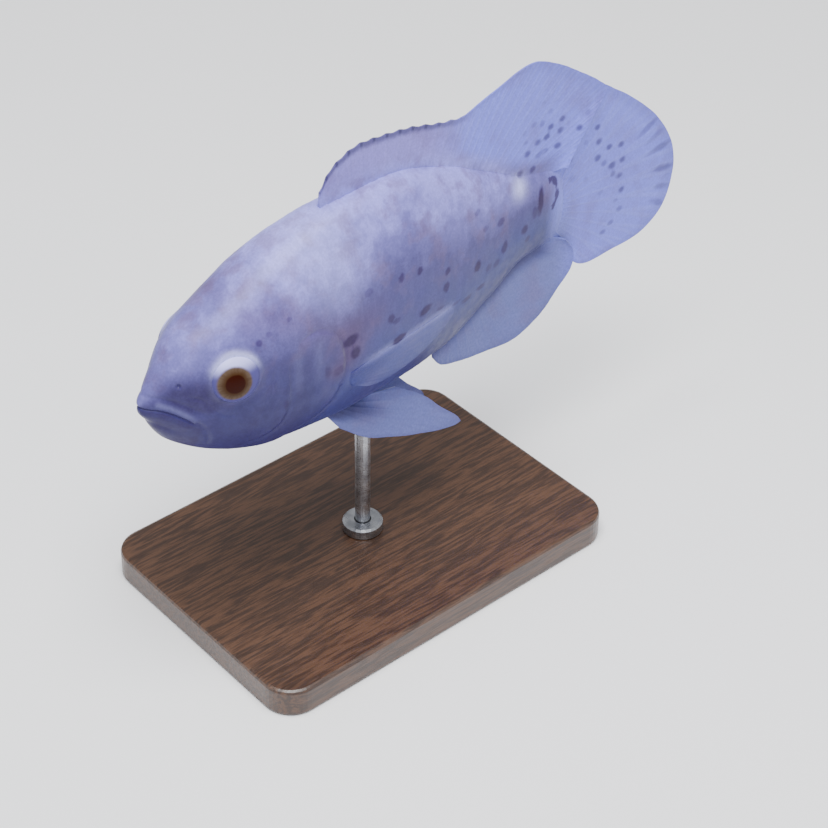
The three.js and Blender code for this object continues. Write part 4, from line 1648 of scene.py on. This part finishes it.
@dataclass
class Scales:
    """Some of the scales of one side, laid in rows along the body. Most sizes are in millimetres."""

    name: str
    side: Side
    start: float
    stop: float
    seed: int
    lift: float = 0.13
    thick: float = 0.09
    pitch: Profile = Profile(
        ((0.15, 1.45), (0.26, 1.9), (0.38, 2.5), (0.6, 2.8), (0.8, 2.4), (1.02, 1.7))
    )
    row_share: float = 0.84
    first_place: float = 0.14
    rows_each_way: int = 40
    edge_gap: float = 0.3
    least_cover: float = 0.6
    gill_clear: tuple[float, float] = (-1.6, 1.2)
    cheek_clear: float = 1.4
    patch: float = 0.0015
    half_long: float = 0.8
    half_high: float = 1.13
    rounding: float = 0.34
    taper: float = 0.42
    sunk: float = 0.1
    cupping: float = 0.04
    face_flatness: float = 0.55
    size_spread: float = 0.05
    lift_spread: float = 0.15

    def template(self) -> tuple[Array, list[tuple[int, ...]]]:
        """Models one scale as a closed plate on a square.

        Returns:
            Its vertices, from -1 to 1 across and along and 0 to -1 through, and its faces.
        """
        bpy.ops.mesh.primitive_grid_add(x_subdivisions=3, y_subdivisions=4, size=2)
        piece = newest("scale_pattern")
        shell = piece.modifiers.new("thickness", "SOLIDIFY")
        shell.thickness = 1
        shell.offset = -1
        apply_modifier(piece, shell)
        points = corners(piece.data)
        faces = [tuple(face.vertices) for face in piece.data.polygons]
        bpy.data.objects.remove(piece)
        return points, faces

    def angles(self) -> tuple[Array, Array, Array]:
        """Measures the way round the section from the middle of the side.

        Returns:
            Stations along the fish, angles of the half section, and the length run to each angle at
            each station in millimetres, with the middle of the side at 0.
        """
        stations = np.linspace(self.first_place, 1.012, 160)
        turns = np.linspace(-math.pi / 2, math.pi / 2, 121)
        points = FORM.surface(stations[:, None], turns[None, :])
        steps = np.linalg.norm(np.diff(points, axis=1), axis=2) / MM
        run = np.concatenate([np.zeros((len(stations), 1)), np.cumsum(steps, axis=1)], axis=1)
        return stations, turns, run - run[:, len(turns) // 2, None]

    def turn_at(self, x: Array, away: Array) -> Array:
        """The angle that lies a given way round from the middle of the side.

        Args:
            x: Places along the fish.
            away: Millimetres round the section, up positive.

        Returns:
            Angles for the right side.
        """
        stations, turns, run = self.angles()
        index = np.clip(np.searchsorted(stations, x) - 1, 0, len(stations) - 2)
        share = np.clip((x - stations[index]) / (stations[index + 1] - stations[index]), 0, 1)
        result = np.zeros(np.shape(x))
        for i in np.unique(index):
            here = index == i
            first = np.interp(away[here], run[i], turns)
            second = np.interp(away[here], run[i + 1], turns)
            result[here] = first + (second - first) * share[here]
        return result

    def seats(self) -> tuple[Array, Array, Array]:
        """Where the scales sit.

        Returns:
            x, the way round the section in millimetres, and the local pitch in millimetres.
        """
        fine = np.linspace(self.first_place, 1.01, 1200)
        count = np.concatenate([[0], np.cumsum(np.diff(fine) * LENGTH_MM / self.pitch.at(fine[:-1]))])
        stations, _, run = self.angles()
        places, rounds = [], []
        for row in range(-self.rows_each_way, self.rows_each_way + 1):
            numbers = np.arange(0, count[-1]) + 0.5 * (row % 2)
            x = np.interp(numbers, count, fine)
            away = row * self.row_share * self.pitch.at(x)
            low, high = np.interp(x, stations, run[:, 0]), np.interp(x, stations, run[:, -1])
            keep = (away > low + self.edge_gap) & (away < high - self.edge_gap)
            keep &= (x >= self.start) & (x < self.stop)
            places.append(x[keep])
            rounds.append(away[keep])
        x, away = np.concatenate(places), np.concatenate(rounds)
        points = self.on_body(x, away, np.zeros(len(x)))
        px, _, pz = to_fish(points)
        gill = gill_gap(px, pz)
        cheek, run_share = CHEEK_EDGE.measure(px, pz)
        keep = RELIEF.scaled(points) > self.least_cover
        at_gill = (gill > self.gill_clear[0]) & (gill < self.gill_clear[1]) & (px > 0.25) & (pz < 0.07)
        at_cheek = (np.abs(cheek) < self.cheek_clear) & (run_share < 0.95) & (run_share > 0.03)
        keep &= ~at_gill & ~at_cheek
        return x[keep], away[keep], self.pitch.at(x[keep])

    def on_body(self, x: Array, away: Array, height: Array) -> Array:
        """Points over the skin.

        Args:
            x: Places along the fish.
            away: Millimetres round the section.
            height: Millimetres above the skin.

        Returns:
            Points in metres.
        """
        angle = self.turn_at(x, away)
        if self.side is Side.LEFT:
            angle = math.pi - angle
        base = FORM.surface(x, angle)
        out = FORM.normal(x, angle)
        return base + out * (RELIEF.lift(base) + height * MM)[:, None]

    def spread(self, x: Array, away: Array, pitch: Array, plate: Array, chance: np.random.Generator) -> Array:
        """Places the vertices of every scale.

        Args:
            x: Where each scale sits along the fish, in a column.
            away: Where it sits round the section, in a column.
            pitch: The local pitch, in a column.
            plate: The vertices of one scale.
            chance: What makes the scales differ a little in size and lift.

        Returns:
            Points in metres, scale by scale.
        """
        back, across, layer = plate.T[:, None]
        free = (back + 1) / 2
        size = pitch * (1 + self.size_spread * chance.standard_normal(x.shape))
        along = (back - self.rounding * across**2 * free) * self.half_long * size
        narrow = np.sqrt(1 - self.taper * np.clip(-back, 0, 1) ** 2)
        sideways = across * narrow * self.row_share * self.half_high * size
        flat = 1 - self.face_flatness * eased(0.4, 0.34, x)
        lift = self.lift * flat * (1 + self.lift_spread * chance.standard_normal(x.shape))
        rising = (lift + self.sunk) * free**0.75 - self.sunk - self.cupping * across**2
        height = rising + layer * self.thick * (0.35 + 0.65 * free)
        return self.on_body((x + along / LENGTH_MM).ravel(), (away + sideways).ravel(), height.ravel())

    def build(self, material: bpy.types.Material) -> bpy.types.Object:
        """Lays the scales and joins them into one piece.

        Args:
            material: The scales' material.

        Returns:
            The piece.
        """
        plate, faces = self.template()
        x, away, pitch = self.seats()
        chance = np.random.default_rng(self.seed)
        points = self.spread(x[:, None], away[:, None], pitch[:, None], plate, chance)
        mesh = bpy.data.meshes.new(self.name)
        count = len(plate)
        all_faces = [tuple(i * count + v for v in quad) for i in range(len(x)) for quad in faces]
        mesh.from_pydata(points.tolist(), [], all_faces)
        piece = bpy.data.objects.new(self.name, mesh)
        bpy.context.scene.collection.objects.link(piece)
        self.unwrap(mesh, x, away, plate)
        turn_faces_out(piece)
        none = np.zeros(len(points))
        at, _, up = to_fish(points)
        MARKINGS.paint(mesh, fin_share(at, up), {"ray": none, "along": none - 0.2, "paired": none})
        record_field(mesh, "flake", np.repeat(chance.uniform(-1, 1, len(x)), count))
        soften(piece, 45)
        dress(piece, material)
        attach(piece, "root")
        LOG.info("%s: %d scales, %d faces", self.name, len(x), len(mesh.polygons))
        return piece

    def unwrap(self, mesh: bpy.types.Mesh, x: Array, away: Array, plate: Array) -> None:
        """Gives each scale a small patch at its root's place on an unwrap of the body.

        Args:
            mesh: The joined scales.
            x: Where each scale sits along the fish.
            away: Where it sits round the section.
            plate: The vertices of one scale.
        """
        turn = self.turn_at(x, away)
        if self.side is Side.LEFT:
            turn = math.pi - turn
        across = (turn + math.pi / 2) / math.tau
        u = (x[:, None] * 0.97 + plate[None, :, 0] * self.patch).ravel()
        v = (across[:, None] * 0.98 + 0.01 + plate[None, :, 1] * self.patch).ravel()
        layer = mesh.uv_layers.new(name="OFBake")
        index = np.zeros(len(mesh.loops), np.int32)
        mesh.loops.foreach_get("vertex_index", index)
        layer.data.foreach_set("uv", np.stack([u[index], v[index]], axis=1).astype(np.float32).ravel())


@dataclass(frozen=True)
class EyeFinish:
    """The nearly matt eyeball: dark pupil, amber iris, and a ring that is pale at its top as painted
    highlight and darker below as painted shade.
    """

    pupil: Colour = srgb(44, 10, 2)
    iris_inner: Colour = srgb(60, 38, 20)
    iris_outer: Colour = srgb(92, 78, 66)
    # The ring's colour below, as painted shade, and at its top, as painted highlight.
    ring_painted_shade: Colour = srgb(76, 72, 130)
    ring_painted_highlight: Colour = srgb(190, 190, 250)
    pupil_edge: float = 0.375
    iris_edge: float = 0.69
    specular: float = 0.06
    coat: float = 0.02
    coat_roughness: float = 0.08

    def material(self) -> bpy.types.Material:
        """Makes the eyeball's material.

        Returns:
            The material.
        """
        material, nodes = new_material("eyeball")
        spokes = nodes.add("ShaderNodeAttribute", attribute_name="spokes").outputs["Vector"]
        streaks = nodes.noise(spokes, 5.0, 4)
        soft = nodes.noise(nodes.place(), 700, 3)
        reach = nodes.maths("ADD", nodes.field("eye_out"), nodes.maths("MULTIPLY_ADD", soft, 0.04, -0.02))
        iris = nodes.mix(nodes.rise(reach, self.pupil_edge, self.iris_edge), self.iris_inner, self.iris_outer)
        iris = nodes.mix(nodes.rise(streaks, 0.35, 0.7, 0, 0.45), iris, self.iris_inner)
        # Painted light: the ring grows paler towards its top.
        ring = nodes.mix(nodes.rise(nodes.field("eye_top"), 0.15, 0.8), self.ring_painted_shade, self.ring_painted_highlight)
        colour = nodes.mix(nodes.rise(reach, self.iris_edge - 0.07, self.iris_edge + 0.05), iris, ring)
        hole = nodes.rise(reach, self.pupil_edge + 0.035, self.pupil_edge - 0.025)
        furrows = nodes.maths("MULTIPLY", streaks, nodes.rise(reach, self.pupil_edge, self.pupil_edge + 0.08))
        shading = {
            "Base Color": nodes.mix(hole, colour, self.pupil),
            "Roughness": nodes.rise(soft, 0.3, 0.7, 0.3, 0.4),
            "Normal": nodes.bump(furrows, 0.03 * MM, 0.4),
            "Specular IOR Level": self.specular,
            "Coat Weight": self.coat,
            "Coat Roughness": self.coat_roughness,
        }
        nodes.shade(shading)
        return material


@dataclass
class Eye:
    """One eye: a flattened ball with a low rim and a sunken pupil. Its sizes are in millimetres."""

    side: Side
    segments: int = 96
    rings: int = 72
    crowding: float = 0.22
    pupil_ahead: float = 1.15
    pupil_below: float = 0.5
    rim_at: float = 5.9
    rim: float = 0.25
    hollow: float = 0.2

    def build(self, material: bpy.types.Material) -> bpy.types.Object:
        """Models the eyeball and hands it to the frame.

        Args:
            material: Its material.

        Returns:
            The piece.
        """
        label = self.side.name.lower()
        bpy.ops.mesh.primitive_uv_sphere_add(segments=self.segments, ring_count=self.rings, radius=1)
        piece = newest(f"eyeball_{label}")
        unit = corners(piece.data)
        slope = np.arccos(np.clip(unit[:, 2], -1, 1))
        slope = slope - self.crowding * np.sin(2 * slope)
        turn = np.arctan2(unit[:, 1], unit[:, 0])
        out = np.sin(slope) * EYE.radius
        across, up, height = out * np.cos(turn), out * np.sin(turn), np.cos(slope) * EYE.depth
        ahead, above = across - self.side.value * self.pupil_ahead, up + self.pupil_below
        gaze = np.hypot(ahead, above)
        relief = self.rim * hump(out - self.rim_at, 0.7) - self.hollow * eased(5.2, 3.8, gaze)
        local = np.stack([across, up, height + relief * (height > 0)], axis=1) * MM
        place(piece.data, local @ np.array(EYE.turn(self.side)).T + np.array(EYE.centre(self.side)))
        record_field(piece.data, "eye_out", np.where(height > 0, gaze, EYE.radius * 1.2) / EYE.radius)
        record_field(piece.data, "eye_top", up / EYE.radius)
        spokes = piece.data.attributes.new("spokes", "FLOAT_VECTOR", "POINT")
        values = np.stack([ahead / gaze, above / gaze, gaze / 10], axis=1)
        spokes.data.foreach_set("vector", values.astype(np.float32).ravel())
        turn_faces_out(piece)
        soften(piece, 60)
        dress(piece, material)
        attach(piece, "root")
        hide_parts(f"eye_{label}")
        LOG.info("eyeball %s: %d vertices", label, len(piece.data.vertices))
        return piece


@dataclass(frozen=True)
class WoodFinish:
    """Dark oiled wood, its grain along the base."""

    dark: Colour = srgb(50, 33, 24)
    light: Colour = srgb(84, 57, 40)
    stretch: tuple[float, float, float] = (0.09, 1, 1)
    coat: float = 0.2
    coat_roughness: float = 0.25

    def material(self) -> bpy.types.Material:
        """Makes the wood.

        Returns:
            The material.
        """
        material, nodes = new_material("stand_wood")
        stretched = nodes.place(self.stretch)
        broad = nodes.noise(stretched, 210, 5, 0.6)
        pores = nodes.noise(stretched, 1400, 3, 0.6)
        rings = nodes.maths("PINGPONG", nodes.maths("MULTIPLY", broad, 7), 0.5)
        grain = nodes.maths("MULTIPLY_ADD", rings, 1.2, nodes.maths("MULTIPLY", pores, 0.35))
        colour = nodes.mix(nodes.rise(grain, 0.1, 0.85), self.dark, self.light)
        colour = nodes.mix(nodes.rise(pores, 0.5, 0.35, 0, 0.5), colour, self.dark)
        shading = {
            "Base Color": colour,
            "Roughness": nodes.rise(pores, 0.3, 0.7, 0.3, 0.45),
            "Normal": nodes.bump(pores, 0.1 * MM, 0.5),
            "Coat Weight": self.coat,
            "Coat Roughness": self.coat_roughness,
        }
        nodes.shade(shading)
        return material


@dataclass(frozen=True)
class SteelFinish:
    """Brushed steel, its fine scratches round the rod."""

    tint: Colour = srgb(196, 198, 202)
    worn: Colour = srgb(150, 152, 158)
    stretch: tuple[float, float, float] = (1, 1, 14)

    def material(self) -> bpy.types.Material:
        """Makes the steel.

        Returns:
            The material.
        """
        material, nodes = new_material("stand_metal")
        lines = nodes.noise(nodes.place(self.stretch), 700, 4, 0.6)
        clouds = nodes.noise(nodes.place(), 160, 3)
        shading = {
            "Base Color": nodes.mix(nodes.rise(clouds, 0.35, 0.7), self.tint, self.worn),
            "Roughness": nodes.rise(lines, 0.3, 0.7, 0.24, 0.4),
            "Normal": nodes.bump(lines, 0.03 * MM, 0.4),
            "Metallic": 1.0,
        }
        nodes.shade(shading)
        return material


@dataclass
class Stand:
    """The base, rod and collar that come from the CAD as they are."""

    def dress(self) -> None:
        """Gives the stand's nodes their materials."""
        wood, steel = WoodFinish().material(), SteelFinish().material()
        for name, material in (("stand_base", wood), ("stand_rod", steel), ("stand_collar", steel)):
            dress(frame["nodes"][name], material)
            LOG.info("%s dressed", name)


@dataclass
class Studio:
    """The camera, the pale floor and the soft light."""

    turn: float = math.radians(39.8)
    tilt: float = math.radians(34.72)
    distance: float = 0.6
    lens: float = 95.13
    shift_x: float = 0.062
    shift_y: float = -0.1419
    target: tuple[float, float, float] = (0.0, 0.0, AXIS_HEIGHT)
    floor_size: float = 6
    floor_tints: tuple[Colour, Colour] = (srgb(244, 245, 247), srgb(248, 248, 250))
    air: Colour = (0.86, 0.87, 0.9, 1)
    air_strength: float = 0.58

    def camera(self) -> None:
        """Sets the camera where the photo was taken from."""
        right = Vector((math.cos(self.turn), -math.sin(self.turn), 0))
        level = math.sin(self.tilt)
        up = Vector((math.sin(self.turn) * level, math.cos(self.turn) * level, math.cos(self.tilt)))
        back = right.cross(up)
        bpy.ops.object.camera_add(location=Vector(self.target) + back * self.distance)
        camera = bpy.context.active_object
        camera.name = "camera"
        camera.rotation_euler = Matrix((right, up, back)).transposed().to_euler()
        camera.data.lens = self.lens
        camera.data.sensor_width = 36
        camera.data.shift_x, camera.data.shift_y = self.shift_x, self.shift_y
        camera.data.clip_start, camera.data.clip_end = 0.01, 20
        bpy.context.scene.camera = camera

    def light(
        self, name: str, place_at: tuple[float, ...], size: float, watts: float, tint: tuple[float, ...]
    ) -> None:
        """Hangs a square soft light that faces the fish.

        Args:
            name: The light's name.
            place_at: Where it hangs, in metres.
            size: Its side, in metres.
            watts: Its power.
            tint: Its colour.
        """
        bpy.ops.object.light_add(type="AREA", location=place_at)
        lamp = bpy.context.active_object
        lamp.name = name
        lamp.rotation_euler = (Vector(self.target) - Vector(place_at)).to_track_quat("-Z", "Y").to_euler()
        lamp.data.size = size
        lamp.data.energy = watts
        lamp.data.color = tint

    def floor(self) -> None:
        """Lays the pale floor, with a faint unevenness in its colour."""
        bpy.ops.mesh.primitive_plane_add(size=self.floor_size, location=(0, 0, 0))
        floor = newest("studio_floor")
        material, nodes = new_material("studio_floor")
        cloud = nodes.rise(nodes.noise(nodes.place(), 3, 3), 0.3, 0.7)
        nodes.shade({"Base Color": nodes.mix(cloud, *self.floor_tints), "Roughness": 0.9})
        dress(floor, material)

    def build(self) -> None:
        """Sets up camera, floor, lights and the pale surroundings."""
        self.camera()
        self.floor()
        self.light("key_light", (-0.15, -0.2, 1.1), 0.7, 23.0, (1.0, 1.0, 1.0))
        self.light("fill_light", (-0.9, -0.8, 0.5), 0.9, 3.0, (0.92, 0.94, 1.0))
        world = bpy.data.worlds.new("studio_air")
        bpy.context.scene.world = world
        world.use_nodes = True
        background = world.node_tree.nodes["Background"]
        Nodes(world.node_tree).feed(background, {"Color": self.air, "Strength": self.air_strength})


def main() -> None:
    """Builds every piece in order."""
    logging.basicConfig(level=logging.INFO, format="%(message)s")
    Studio().build()
    pattern = SkinPattern(SkinColours())
    Skin().build(SkinFinish("fish_skin").material(pattern))
    scales = SkinFinish("fish_scales", flake_tint=0.12, grain=0.012, coat=0.05).material(pattern)
    for number, side in enumerate(Side):
        label = side.name.lower()
        Scales(f"scales_front_{label}", side, 0.14, 0.56, SEED + number).build(scales)
        Scales(f"scales_rear_{label}", side, 0.56, 1.0, SEED + 10 + number).build(scales)
    ball = EyeFinish().material()
    for side in Side:
        Eye(side).build(ball)
    Stand().dress()


if __name__ == "__main__":
    main()
